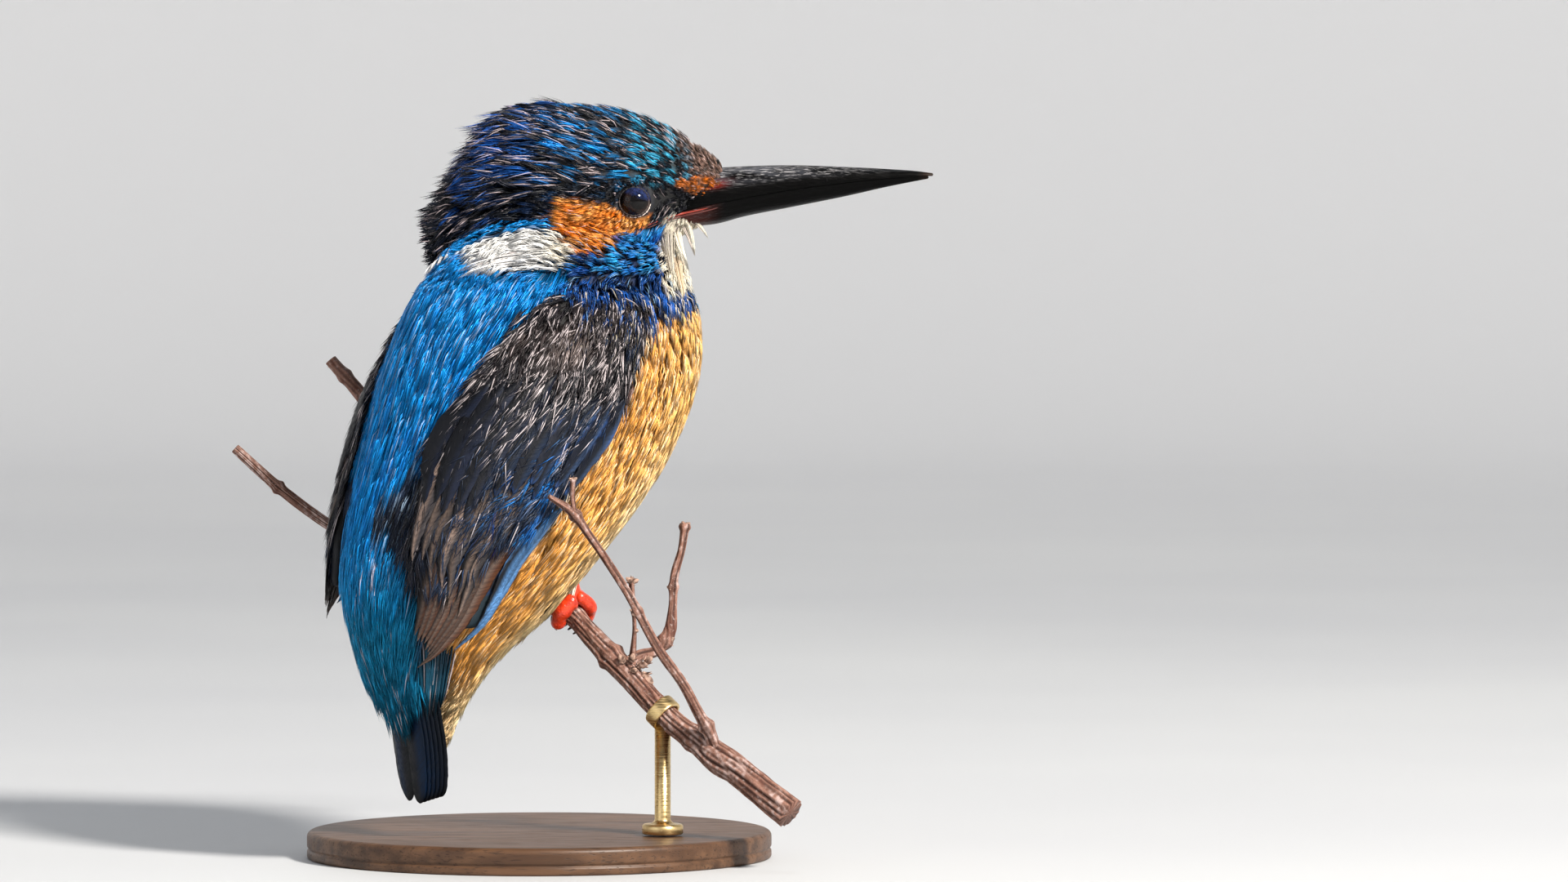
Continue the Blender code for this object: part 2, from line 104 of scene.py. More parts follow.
# Head: (along, middle height, half height, half width) of upright ovals.
HEAD = (
    (-20.5, 107.6, 0.8, 1.4),
    (-17.5, 109.6, 5.6, 5.2),
    (-12.5, 113.6, 10.2, 9.0),
    (-8.0, 117.0, 13.2, 11.2),
    (-2.0, 118.3, 14.5, 12.7),
    (6.0, 118.3, 14.6, 13.1),
    (13.0, 118.4, 13.9, 11.9),
    (18.0, 118.5, 12.4, 9.9),
    (22.5, 118.6, 10.4, 7.4),
    (27.0, 118.5, 7.8, 5.3),
    (31.0, 118.2, 5.2, 3.9),
    (33.0, 118.0, 3.3, 2.6),
)
HEAD_ACROSS = 3.5
# What the crest's locks lie along: the head with its nape left open, so that the locks part there.
HEAD_LIE = ((-20.5, 107.6, 4.2, 4.2), (-17.5, 109.6, 6.8, 6.2)) + HEAD[2:]
# Mandibles: (along, flat face's height, ridge's height, half width).
BILL_UPPER = (
    (22.0, 113.5, 119.6, 3.4),
    (26.0, 114.3, 120.9, 4.9),
    (31.0, 115.5, 121.5, 4.7),
    (36.0, 116.5, 121.8, 4.1),
    (44.0, 117.9, 122.0, 3.2),
    (54.0, 119.2, 121.7, 2.2),
    (62.0, 120.0, 121.3, 1.3),
    (67.0, 120.35, 121.0, 0.7),
    (69.4, 120.4, 120.7, 0.3),
)
BILL_LOWER = (
    (22.0, 113.1, 111.6, 3.3),
    (26.0, 113.9, 111.4, 4.7),
    (31.0, 115.1, 111.7, 4.5),
    (36.0, 116.1, 113.0, 3.9),
    (44.0, 117.5, 114.6, 3.0),
    (54.0, 118.8, 116.6, 2.0),
    (62.0, 119.6, 118.4, 1.1),
    (66.5, 119.95, 119.3, 0.6),
    (68.6, 120.0, 119.7, 0.3),
)
EYE_RADIUS = 3.1
EYE_ALONG, EYE_HEIGHT, EYE_OUT = 16.9, 115.8, 8.1

# The bed under a folded wing, and the wing: (height, leading edge, trailing edge, thickness) in degrees.
WING_BED = (
    (32.0, -24.0, 16.0, 18.0),
    (40.0, -22.2, 19.6, 18.3),
    (46.4, -19.3, 22.0, 18.8),
    (53.6, -15.6, 25.4, 19.6),
    (60.8, -11.3, 27.9, 21.0),
    (75.2, -3.4, 31.0, 22.7),
    (89.6, 1.7, 31.0, 22.2),
    (96.8, 3.2, 28.8, 20.8),
    (102.5, 4.4, 26.0, 18.8),
)
WING = (
    (35.4, 136.0, 141.0, 0.8),
    (37.0, 124.0, 141.5, 1.3),
    (41.0, 109.0, 141.5, 1.8),
    (48.0, 101.5, 142.5, 2.2),
    (54.0, 99.0, 146.5, 2.4),
    (61.0, 94.5, 148.5, 2.6),
    (76.0, 85.0, 148.0, 2.9),
    (86.0, 80.0, 138.0, 3.0),
    (94.0, 79.0, 130.0, 2.8),
    (98.5, 84.0, 122.0, 2.0),
    (100.2, 95.0, 112.0, 1.0),
)
WING_EDGE = 0.6
LEFT_WING_LIFT, SHOULDER_HEIGHT = 7.0, 90.0
TAIL = (
    (11.2, -26.7, 0.5, 3.0),
    (13.4, -27.0, 0.7, 6.0),
    (24.0, -28.3, 1.5, 7.0),
    (33.0, -30.2, 3.0, 7.0),
    (42.0, -33.2, 4.6, 6.8),
    (49.0, -35.2, 3.8, 5.2),
    (51.5, -35.4, 1.6, 2.6),
)

PERCH = (
    (44.3, -29.5, 10.0, 2.7),
    (40.2, -27.0, 13.1, 2.6),
    (35.0, -22.8, 17.0, 2.5),
    (31.4, -20.0, 19.2, 2.6),
    (28.3, -17.6, 21.6, 2.1),
    (24.1, -15.0, 24.6, 2.0),
    (19.8, -12.5, 28.6, 2.0),
    (16.4, -10.4, 32.3, 2.05),
    (13.2, -8.6, 35.5, 2.1),
    (9.6, -6.2, 39.2, 1.85),
    (5.7, -3.0, 43.2, 1.7),
    (-1.8, 5.2, 45.2, 1.65),
    (-10.5, 13.8, 47.2, 1.5),
    (-22.0, 19.2, 51.4, 1.3),
    (-36.4, 21.2, 56.8, 1.0),
    (-47.4, 21.8, 64.6, 0.95),
    (-55.0, 22.2, 71.4, 0.85),
)
FRONT_SHOOT = (
    (31.4, -20.2, 19.5, 1.1),
    (30.2, -21.4, 23.6, 1.1),
    (28.6, -22.0, 26.4, 0.95),
    (25.6, -23.0, 32.1, 0.85),
    (21.8, -24.0, 37.5, 0.85),
    (15.8, -25.3, 48.4, 0.75),
    (9.3, -27.0, 58.3, 0.7),
    (6.7, -28.2, 62.0, 0.8),
    (2.6, -31.0, 65.0, 0.4),
)
FRONT_SPUR = ((6.9, -28.4, 62.0, 0.5), (6.6, -29.2, 65.0, 0.45), (6.7, -29.9, 68.0, 0.5))
BACK_SHOOT = (
    (15.3, -9.4, 34.3, 1.3),
    (17.8, -7.6, 36.0, 1.0),
    (20.6, -6.0, 36.7, 0.95),
    (23.0, -4.6, 40.0, 1.1),
    (23.6, -3.6, 44.3, 0.75),
    (23.9, -3.0, 49.9, 0.75),
    (25.2, -2.6, 54.7, 0.65),
    (25.8, -2.0, 59.0, 0.8),
)
THIN_SHOOT = ((16.6, -8.8, 35.2, 0.7), (17.0, -10.6, 40.5, 0.4), (16.5, -13.0, 49.5, 0.5))
LEFT_SHOOT = (
    (-21.0, 18.8, 51.0, 1.0),
    (-24.5, 19.6, 58.0, 1.1),
    (-27.0, 20.2, 70.0, 1.1),
    (-31.0, 21.0, 79.0, 1.25),
    (-37.9, 22.2, 87.2, 1.1),
)

FEET = {"right": 5.2, "left": -1.8}
TOE_RADIUS, TOE_SPACING = 1.35, 2.2
TARSUS_RADIUS, TARSUS_LENGTH = 1.3, 5.6
FRONT_TOE_TURN, HIND_TOE_TURN = 118.0, 108.0
CLAW_LENGTH, CLAW_RADIUS = 2.6, 0.55
CLAW_START = 10.0  # beyond the toe's end, in degrees round the twig

BASE_RADIUS, BASE_HEIGHT = 41.0, 4.8
ROD_RADIUS, ROD_ALONG = 1.4, 22.0
ROD_FOOT_RADIUS, ROD_FOOT_HEIGHT = 3.6, 1.8
BAND_WIDTH, BAND_THICKNESS = 2.4, 0.7


# ---------------------------------------------------------------- numbers and paint


def tone(red, green, blue):
    """A linear colour from a paint chart's values out of 255."""
    chart = np.array([red, green, blue]) / 255
    return np.where(chart <= 0.04045, chart / 12.92, ((chart + 0.055) / 1.055) ** 2.4)


def ease(low, high, value):
    """0 below low, 1 above high and a smooth S between."""
    t = np.clip((value - low) / (high - low), 0, 1)
    return t * t * (3 - 2 * t)


def mix(first, second, share):
    share = np.asarray(share)[..., None]
    return first * (1 - share) + second * share


def mottle(places, size, seed):
    """Smooth noise between about -1 and 1: the mean of sine waves in seeded directions, size long."""
    rng = np.random.default_rng(seed)
    total = 0
    for _ in range(7):
        way = rng.normal(size=3)
        way /= np.linalg.norm(way)
        total = total + np.sin(places @ way * (FULL / size * rng.uniform(0.6, 1.5)) + rng.uniform(0, FULL))
    return total / 3.2


def inside(x, y, outline, soft):
    """1 well inside a closed outline, 0 well outside: the distance to the nearest edge over soft."""
    corners = np.array(outline, float)
    nearest = np.full(np.shape(x), 1e9)
    odd = np.zeros(np.shape(x), bool)
    for (x0, y0), (x1, y1) in zip(corners, np.roll(corners, -1, axis=0)):
        dx, dy = x1 - x0, y1 - y0
        t = np.clip(((x - x0) * dx + (y - y0) * dy) / (dx * dx + dy * dy), 0, 1)
        nearest = np.minimum(nearest, np.hypot(x - x0 - t * dx, y - y0 - t * dy))
        crosses = (y0 > y) != (y1 > y)
        odd ^= crosses & (x < x0 + dx * (y - y0) / (dy if abs(dy) > 1e-9 else 1e-9))
    return ease(-soft, soft, np.where(odd, nearest, -nearest))


def rows_at(table, at):
    """Rows of a table at the keys given: a cubic through its rows with its neighbours' slopes, and past the
    table's ends a straight run on at the end's slope."""
    rows = np.array(table, float)
    key = rows[:, 0]
    slope = np.gradient(rows, key, axis=0)
    wanted = np.asarray(at, float)
    at = np.clip(wanted, key[0], key[-1])
    past = (wanted - at)[..., None] * np.where((wanted > at)[..., None], slope[-1], slope[0])
    i = np.clip(np.searchsorted(key, at, side="right") - 1, 0, len(key) - 2)
    span = key[i + 1] - key[i]
    t = ((at - key[i]) / span)[..., None]
    span = span[..., None]
    return (
        rows[i] * (1 + 2 * t) * (1 - t) ** 2
        + slope[i] * span * t * (1 - t) ** 2
        + rows[i + 1] * t**2 * (3 - 2 * t)
        + slope[i + 1] * span * t**2 * (t - 1)
        + past
    )


def stacked(*values):
    """Values of shapes that broadcast, side by side on a new last axis."""
    return np.stack(np.broadcast_arrays(*values), -1)


def unit(vectors):
    return vectors / np.maximum(np.linalg.norm(vectors, axis=-1, keepdims=True), 1e-9)


def world(forward, left, height):
    """Row frame points of body places."""
    along = forward * math.cos(HEADING) - left * math.sin(HEADING)
    across = forward * math.sin(HEADING) + left * math.cos(HEADING)
    return stacked(along, across, height)


# ---------------------------------------------------------------- surfaces


def oval(table):
    """A surface, which gives points for (first, second, proud), of level ovals: forward + (half depth +
    proud) cos turn, (half width + proud) sin turn."""

    def at(height, turn, proud):
        row = rows_at(table, height)
        forward = row[..., 1] + (row[..., 2] + proud) * np.cos(turn)
        left = (row[..., 3] + proud) * np.sin(turn)
        return world(forward, left, height)

    return at


body_at = oval(BODY)
back_oval = oval(BACK)


def under_at(height, turn, proud):
    """The trunk's underside, raised where its flank feathers lie over the wings' leading edges."""
    return body_at(height, turn, proud + wing_cover(height, turn))


def degrees_away(turn):
    """How far a turn is from the breast, 0 to 180 degrees."""
    return np.degrees(np.abs((turn + math.pi) % FULL - math.pi))


def side_of(turn):
    """1 on the bird's left and -1 on its right."""
    return np.sign((turn + math.pi) % FULL - math.pi)


def wing_cover(height, turn):
    """How far the folded wing stands proud of the trunk there, eased off past its edges."""
    row = rows_at(WING, height)
    share = (np.degrees(np.abs(turn)) - row[..., 1]) / (row[..., 2] - row[..., 1])
    over = ease(-0.12, 0.2, share) * ease(1.14, 0.78, share)
    return (row[..., 3] + 0.5) * over * ease(101.5, 97.0, height) * ease(52.0, 62.0, height)


def back_at(height, turn, proud):
    """The trunk's back, raised where it runs over the wings."""
    return back_oval(height, turn, proud + wing_cover(height, turn))


def upright(table):
    """A surface of upright ovals: half height cos turn up, half width sin turn across."""

    def at(along, turn, proud):
        row = rows_at(table, along)
        across = HEAD_ACROSS + (row[..., 3] + proud) * np.sin(turn)
        height = row[..., 1] + (row[..., 2] + proud) * np.cos(turn)
        return stacked(along, across, height)

    return at


head_skin_at = upright(HEAD)
head_at = upright(HEAD_LIE)


def wing_surface(side):
    """A folded wing by its height and share from the leading edge, 0, to the trailing edge, 1."""

    def at(height, share, proud):
        row = rows_at(WING, np.maximum(height, WING[0][0]))
        lift = (LEFT_WING_LIFT if side > 0 else 0.0) * np.maximum(0.0, SHOULDER_HEIGHT - height)
        level = height + lift / (SHOULDER_HEIGHT - WING[0][0])
        bed = rows_at(WING_BED, level)
        turn = np.radians(row[..., 1] + (row[..., 2] - row[..., 1]) * share)
        s = np.clip(share, 0.01, 0.99)
        rise = WING_EDGE + np.maximum(0.0, row[..., 3] - WING_EDGE) * np.sqrt(4 * s * (1 - s))
        grow = GAP + rise + proud
        forward = bed[..., 1] + (bed[..., 2] + grow) * np.cos(turn)
        left = side * (bed[..., 3] + grow) * np.sin(turn)
        return world(forward, left, level)

    return at


def basis(surface, first, second, proud):
    """At each place: the point, the unit way down the first parameter, the unit way across it and outward,
    and the surface's own rates along both parameters."""
    du, dv = 0.04, 0.004
    here = surface(first, second, proud)
    rate_u = (surface(first + du, second, proud) - surface(first - du, second, proud)) / (2 * du)
    rate_v = (surface(first, second + dv, proud) - surface(first, second - dv, proud)) / (2 * dv)
    down = -unit(rate_u)
    across = unit(rate_v - (rate_v * down).sum(-1, keepdims=True) * down)
    out = np.cross(down, across)
    lifted = surface(first, second, proud + 0.5) - here
    out = out * np.where((out * lifted).sum(-1, keepdims=True) < 0, -1, 1)
    return here, down, across, out, rate_u, rate_v


def lie(surface, first, second, proud, heading, length, steps):
    """Paths laid along a surface: each step goes down it, turned by the heading towards the second
    parameter."""
    path = [(first, second)]
    step = length / steps
    for _ in range(steps):
        _, down, across, _, rate_u, rate_v = basis(surface, first, second, proud)
        angle = heading(first, second)
        dv = step * np.sin(angle) / (rate_v * across).sum(-1)
        du = (dv * (rate_v * down).sum(-1) - step * np.cos(angle)) / np.linalg.norm(rate_u, axis=-1)
        first, second = first + du, second + dv
        path.append((first, second))
    return np.array(path)


# ---------------------------------------------------------------- meshes


def mesh_piece(name, points, quads, triangles, material, colours=None, uv=None):
    """A smooth mesh object from whole arrays of points, four-cornered and three-cornered faces."""
    mesh = bpy.data.meshes.new(name)
    quads = np.asarray(quads, np.int32).reshape(-1, 4)
    triangles = np.asarray(triangles, np.int32).reshape(-1, 3)
    loops = np.concatenate([quads.ravel(), triangles.ravel()])
    starts = np.concatenate([np.arange(len(quads)) * 4, len(quads) * 4 + np.arange(len(triangles)) * 3])
    mesh.vertices.add(len(points))
    mesh.vertices.foreach_set("co", (np.asarray(points) * MM).astype(np.float32).ravel())
    mesh.loops.add(len(loops))
    mesh.loops.foreach_set("vertex_index", loops.astype(np.int32))
    mesh.polygons.add(len(starts))
    mesh.polygons.foreach_set("loop_start", starts.astype(np.int32))
    mesh.update(calc_edges=True)
    if uv is not None:
        layer = mesh.uv_layers.new(name="OFBake", do_init=False)
        layer.uv.foreach_set("vector", np.asarray(uv, np.float32)[loops].ravel())
    if colours is not None:
        layer = mesh.attributes.new("markings", "FLOAT_COLOR", "POINT")
        layer.data.foreach_set("color", np.asarray(colours, np.float32).ravel())
    mesh.polygons.foreach_set("use_smooth", np.ones(len(starts), bool))
    made = bpy.data.objects.new(name, mesh)
    bpy.context.scene.collection.objects.link(made)
    mesh.materials.append(material)
    mesh.update()
    return made


def tube_faces(rings, around):
    """Faces of a tube of rings, closed at each end by a fan to an extra point; the ring turns left seen
    from the first end's outside."""
    i, j = np.meshgrid(np.arange(rings - 1), np.arange(around), indexing="ij")
    k = (j + 1) % around
    quads = np.stack([i * around + j, i * around + k, (i + 1) * around + k, (i + 1) * around + j], -1)
    j = np.arange(around)
    k = (j + 1) % around
    first = np.stack([np.full(around, rings * around), k, j], -1)
    last = (rings - 1) * around
    second = np.stack([np.full(around, rings * around + 1), last + j, last + k], -1)
    return quads.reshape(-1, 4), np.concatenate([first, second])


def outward(points, quads, triangles):
    """A closed form with its faces turned, where needed, so that the volume they enclose is positive."""
    corners = np.concatenate([quads[:, [0, 1, 2]], quads[:, [0, 2, 3]], triangles])
    a, b, c = points[corners].transpose(1, 0, 2)
    if np.sum(a * np.cross(b, c)) < 0:
        return points, quads[:, ::-1], triangles[:, ::-1]
    return points, quads, triangles


def closed(rings):
    """Rings of points, (ring, around, 3), as one form closed by a fan at each end."""
    points = np.concatenate([rings.reshape(-1, 3), [rings[0].mean(0)], [rings[-1].mean(0)]])
    return outward(points, *tube_faces(*rings.shape[:2]))


def frames(path, hint):
    """Unit ways along a path, across it and outward, with the outward way kept near the hint."""
    along = unit(np.gradient(path, axis=0))
    hint = np.broadcast_to(np.asarray(hint, float), path.shape)
    across = unit(np.cross(along, hint))
    return along, across, np.cross(across, along)


def sweep(path, width, thick, hint, around=12, bend=None):
    """Points and faces of a bar along a path: an oval section of the half widths and half thicknesses
    given, which may differ from ring to ring; bend(turn, ring) can reshape the section."""
    path = np.asarray(path, float)
    _, across, out = frames(path, hint)
    turn = np.linspace(0, FULL, around, endpoint=False)
    grow = 1.0 if bend is None else bend(turn[None, :], np.arange(len(path))[:, None])
    side = np.broadcast_to(np.asarray(width, float), (len(path),))[:, None] * np.cos(turn) * grow
    rise = np.broadcast_to(np.asarray(thick, float), (len(path),))[:, None] * np.sin(turn) * grow
    points = path[:, None] + across[:, None] * side[..., None] + out[:, None] * rise[..., None]
    points = np.concatenate([points.reshape(-1, 3), path[:1], path[-1:]])
    return outward(points, *tube_faces(len(path), around))


def gather(parts):
    """Several (points, quads, triangles) made one."""
    points, quads, triangles = [], [], []
    count = 0
    for part in parts:
        points.append(part[0])
        quads.append(np.asarray(part[1]).reshape(-1, 4) + count)
        triangles.append(np.asarray(part[2]).reshape(-1, 3) + count)
        count += len(part[0])
    return np.concatenate(points), np.concatenate(quads), np.concatenate(triangles)


def finish(piece, slot, *nodes):
    """Every piece rides on the one body; nodes are the frame's solids that it stands for."""
    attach(piece, "root")
    if nodes:
        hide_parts(*nodes)


# ---------------------------------------------------------------- finishes


def node(tree, kind, **settings):
    """A shader node; settings that name one of its inputs fill or link it, and the others are its
    properties."""
    made = tree.nodes.new(kind)
    for name, value in settings.items():
        title = name.replace("_", " ")
        found = [s for s in made.inputs if s.name.lower() == title.lower() and s.enabled]
        if not found:
            setattr(made, name, value)
        elif isinstance(value, bpy.types.NodeSocket):
            tree.links.new(value, found[0])
        else:
            found[0].default_value = value
    return made


def mixed(tree, share, first, second):
    """Colour between two, each a socket or a fixed colour."""
    made = node(tree, "ShaderNodeMix", data_type="RGBA")
    for name, value in (("Factor", share), ("A", first), ("B", second)):
        socket = next(s for s in made.inputs if s.name == name and s.enabled)
        if isinstance(value, bpy.types.NodeSocket):
            tree.links.new(value, socket)
        else:
            socket.default_value = value if name == "Factor" else (*value, 1.0)
    return next(s for s in made.outputs if s.enabled)


def spread(tree, value, low, high, out_low=0.0, out_high=1.0):
    """A value's range from low to high carried over to another range, smoothly."""
    made = node(tree, "ShaderNodeMapRange", interpolation_type="SMOOTHSTEP", value=value)
    for name, number in (("From Min", low), ("From Max", high), ("To Min", out_low), ("To Max", out_high)):
        made.inputs[name].default_value = number
    return made.outputs["Result"]


def sums(tree, operation, first, second):
    made = node(tree, "ShaderNodeMath", operation=operation)
    for socket, value in zip(made.inputs, (first, second)):
        if isinstance(value, bpy.types.NodeSocket):
            tree.links.new(value, socket)
        else:
            socket.default_value = value
    return made.outputs[0]


def times(tree, first, second):
    return sums(tree, "MULTIPLY", first, second)


def build_patches():
    """Group: soft patches of a size in millimetres, stretched along an axis, with edges from Low to
    High."""
    tree = bpy.data.node_groups.new("patches", "ShaderNodeTree")
    for title, value in (
        ("Size", 2.0), ("Detail", 3.0), ("Low", 0.4), ("High", 0.6), ("Stretch", (1.0, 1.0, 1.0)),
    ):
        kind = "NodeSocketVector" if title == "Stretch" else "NodeSocketFloat"
        tree.interface.new_socket(title, in_out="INPUT", socket_type=kind).default_value = value
    tree.interface.new_socket("Mask", in_out="OUTPUT", socket_type="NodeSocketFloat")
    given = tree.nodes.new("NodeGroupInput").outputs
    drawn = node(tree, "ShaderNodeVectorMath", operation="DIVIDE")
    tree.links.new(node(tree, "ShaderNodeTexCoord").outputs["Object"], drawn.inputs[0])
    tree.links.new(given["Stretch"], drawn.inputs[1])
    scale = sums(tree, "DIVIDE", 1000.0, given["Size"])
    noise = node(tree, "ShaderNodeTexNoise", vector=drawn.outputs[0], scale=scale, detail=given["Detail"])
    ranged = node(tree, "ShaderNodeMapRange", interpolation_type="SMOOTHSTEP", value=noise.outputs[0])
    tree.links.new(given["Low"], ranged.inputs["From Min"])
    tree.links.new(given["High"], ranged.inputs["From Max"])
    tree.links.new(ranged.outputs["Result"], tree.nodes.new("NodeGroupOutput").inputs["Mask"])
    return tree


PATCHES = build_patches()


def patches(tree, size, low, high, stretch=(1.0, 1.0, 1.0), detail=3.0):
    """The patches group placed in a material with its own values."""
    made = tree.nodes.new("ShaderNodeGroup")
    made.node_tree = PATCHES
    given = {"Size": size, "Low": low, "High": high, "Stretch": stretch, "Detail": detail}
    for name, value in given.items():
        made.inputs[name].default_value = value
    return made.outputs["Mask"]


def new_finish(name, **fixed):
    """A material with its shader; fixed numbers go straight on the shader's own sockets."""
    made = bpy.data.materials.new(name)
    made.use_nodes = True
    tree = made.node_tree
    shader = tree.nodes["Principled BSDF"]
    for title, value in fixed.items():
        shader.inputs[title.replace("_", " ")].default_value = value
    return made, tree, shader


def complete(made, tree, shader, height, depth, **sockets):
    """Link values into the shader's sockets, and a bump of the depth in millimetres over a height mask."""
    for title, value in sockets.items():
        tree.links.new(value, shader.inputs[title.replace("_", " ")])
    bump = node(tree, "ShaderNodeBump", height=height, distance=depth * MM, strength=1.0)
    tree.links.new(bump.outputs["Normal"], shader.inputs["Normal"])
    return made


def marked(tree):
    """The markings attribute's colour and its fourth value."""
    read = node(tree, "ShaderNodeAttribute", attribute_name="markings").outputs
    return read["Color"], read["Alpha"]


def sheen(tree, mask, low, high):
    """Roughness between two values by a mask."""
    return spread(tree, mask, 0, 1, low, high)


def build_feather_finish():
    """Wet plumage: the markings, a little uneven, with a gloss that breaks up along the strands."""
    made, tree, shader = new_finish("wet_feather", Coat_Weight=0.10, Coat_Roughness=0.2,
                                    Specular_IOR_Level=0.3)
    colour, shine = marked(tree)
    worn = mixed(tree, patches(tree, 0.5, 0.35, 0.75), colour, BLACK)
    return complete(
        made, tree, shader, patches(tree, 0.16, 0.2, 0.8), 0.02,
        Base_Color=mixed(tree, 0.22, colour, worn), Metallic=times(tree, shine, 0.85),
        Roughness=sheen(tree, patches(tree, 0.35, 0.3, 0.7), 0.3, 0.52),
    )


def build_vane_finish():
    """A flight feather's web: the markings crossed by fine slanting barbs that stand from the shaft, and
    darkened as painted shade in the gaps where the barbs part.
    """
    made, tree, shader = new_finish("feather_web", Coat_Weight=0.02, Coat_Roughness=0.3,
                                    Specular_IOR_Level=0.16)
    colour, shine = marked(tree)
    barb = node(tree, "ShaderNodeAttribute", attribute_name="barb").outputs["Fac"]
    line = spread(tree, sums(tree, "SINE", times(tree, barb, FULL / 0.24), 0.0), -1.0, 1.0)
    clumps = node(tree, "ShaderNodeTexNoise", noise_dimensions="1D", w=barb, scale=1.7, detail=4.0)
    # Painted shade: the web darkens nearly to black where the barb clumps part.
    shaded_gaps = spread(tree, clumps.outputs[0], 0.42, 0.62)
    colour = mixed(tree, times(tree, line, 0.05), colour, BLACK)
    return complete(
        made, tree, shader, sums(tree, "ADD", times(tree, line, 0.35), shaded_gaps), 0.010,
        Base_Color=mixed(tree, times(tree, shaded_gaps, 0.35), colour, (0.005, 0.006, 0.009)),
        Metallic=times(tree, shine, 0.6), Roughness=sheen(tree, patches(tree, 0.8, 0.3, 0.7), 0.34, 0.55),
    )


def build_skin_finish():
    """Skin under the coat, lids, gape and feet: the markings, with scaly folds where the skin is bare."""
    made, tree, shader = new_finish("bird_skin", Coat_Roughness=0.2)
    colour, bare = marked(tree)
    place = node(tree, "ShaderNodeTexCoord").outputs["Object"]
    cells = node(tree, "ShaderNodeTexVoronoi", feature="DISTANCE_TO_EDGE", vector=place,
                 scale=1000.0 / 0.55)
    scales = spread(tree, cells.outputs["Distance"], 0.0, 0.22)
    deep = node(tree, "ShaderNodeVectorMath", operation="MULTIPLY")
    tree.links.new(colour, deep.inputs[0])
    deep.inputs[1].default_value = (0.42, 0.16, 0.18)
    blotch = times(tree, patches(tree, 1.1, 0.35, 0.75), bare)
    colour = mixed(tree, times(tree, blotch, 0.75), colour, deep.outputs[0])
    lined = times(tree, sums(tree, "SUBTRACT", 1.0, scales), times(tree, bare, 0.22))
    return complete(
        made, tree, shader, times(tree, scales, bare), 0.022,
        Base_Color=mixed(tree, lined, colour, deep.outputs[0]),
        Roughness=sheen(tree, bare, 0.75, 0.3), Coat_Weight=times(tree, bare, 0.35),
    )


def build_eye_finish():
    """A wet eye: the markings give the iris and pupil and a painted reflection of the sky on them, faintly
    mottled, under a clear coat.
    """
    made, tree, shader = new_finish("eye_gloss", Roughness=0.04, Specular_IOR_Level=0.22)
    colour = mixed(tree, patches(tree, 0.5, 0.35, 0.75), marked(tree)[0], (0.004, 0.003, 0.003))
    return complete(made, tree, shader, patches(tree, 0.9, 0.3, 0.7), 0.006, Base_Color=colour)


def build_bill_finish(name, strength):
    """Horn of a mandible: black, and where it is marked wet, hazed grey as a painted sheen and scuffed grey
    along it by the strength."""
    made, tree, shader = new_finish(name, Coat_Roughness=0.12, Specular_IOR_Level=0.06)
    colour, wet = marked(tree)
    scuffs = times(tree, patches(tree, 0.16, 0.52, 0.66, (9.0, 1.0, 1.0), 5.0), wet)
    # The haze is a painted sheen: grey laid over the black where the wet mask is high.
    painted_sheen_haze = times(tree, patches(tree, 3.0, 0.35, 0.8, (3.0, 1.0, 0.7)), wet)
    colour = mixed(tree, times(tree, painted_sheen_haze, 0.55), colour, (0.10, 0.105, 0.125))
    colour = mixed(tree, times(tree, scuffs, strength), colour, (0.34, 0.33, 0.34))
    height = sums(tree, "ADD", scuffs, patches(tree, 0.5, 0.3, 0.7, (6.0, 1.0, 1.0)))
    return complete(made, tree, shader, height, 0.035, Base_Color=colour,
                    Roughness=sheen(tree, scuffs, 0.30, 0.5))


def build_claw_finish():
    made, tree, shader = new_finish("claw_horn", Coat_Weight=0.3, Coat_Roughness=0.2)
    pale = patches(tree, 0.5, 0.35, 0.7, (1.0, 1.0, 3.0))
    colour = mixed(tree, pale, (0.012, 0.011, 0.011), (0.06, 0.045, 0.038))
    return complete(made, tree, shader, pale, 0.02, Base_Color=colour,
                    Roughness=sheen(tree, pale, 0.25, 0.45))


def build_bark_finish():
    """Thin bark: the markings carry its ridges and weathering, with fine grain and pale flecks over
    them."""
    made, tree, shader = new_finish("twig_bark", Specular_IOR_Level=0.3)
    colour, ridge = marked(tree)
    fine = patches(tree, 0.22, 0.3, 0.7, (1.0, 1.0, 1.0), 6.0)
    colour = mixed(tree, times(tree, fine, 0.3), colour, (0.07, 0.03, 0.018))
    fleck = patches(tree, 0.5, 0.60, 0.72)
    colour = mixed(tree, times(tree, fleck, 0.35), colour, (0.52, 0.43, 0.41))
    height = sums(tree, "ADD", fine, ridge)
    return complete(made, tree, shader, height, 0.05, Base_Color=colour,
                    Roughness=sheen(tree, fine, 0.45, 0.75))


def build_wood_finish():
    """Oiled dark wood: streaks of grain along the board, fine open pores and a soft polish."""
    made, tree, shader = new_finish("turned_wood", Specular_IOR_Level=0.35)
    grain = patches(tree, 2.2, 0.32, 0.68, (16.0, 1.0, 1.0), 5.0)
    wide = patches(tree, 9.0, 0.3, 0.7, (5.0, 1.0, 1.0), 2.0)
    pores = patches(tree, 0.35, 0.56, 0.68, (26.0, 1.0, 1.0), 3.0)
    colour = mixed(tree, grain, (0.050, 0.024, 0.012), (0.135, 0.068, 0.034))
    colour = mixed(tree, times(tree, wide, 0.5), colour, (0.085, 0.040, 0.020))
    colour = mixed(tree, times(tree, pores, 0.6), colour, (0.020, 0.010, 0.006))
    height = sums(tree, "SUBTRACT", 1.0, pores)
    return complete(made, tree, shader, height, 0.02, Base_Color=colour,
                    Roughness=sheen(tree, pores, 0.42, 0.65))


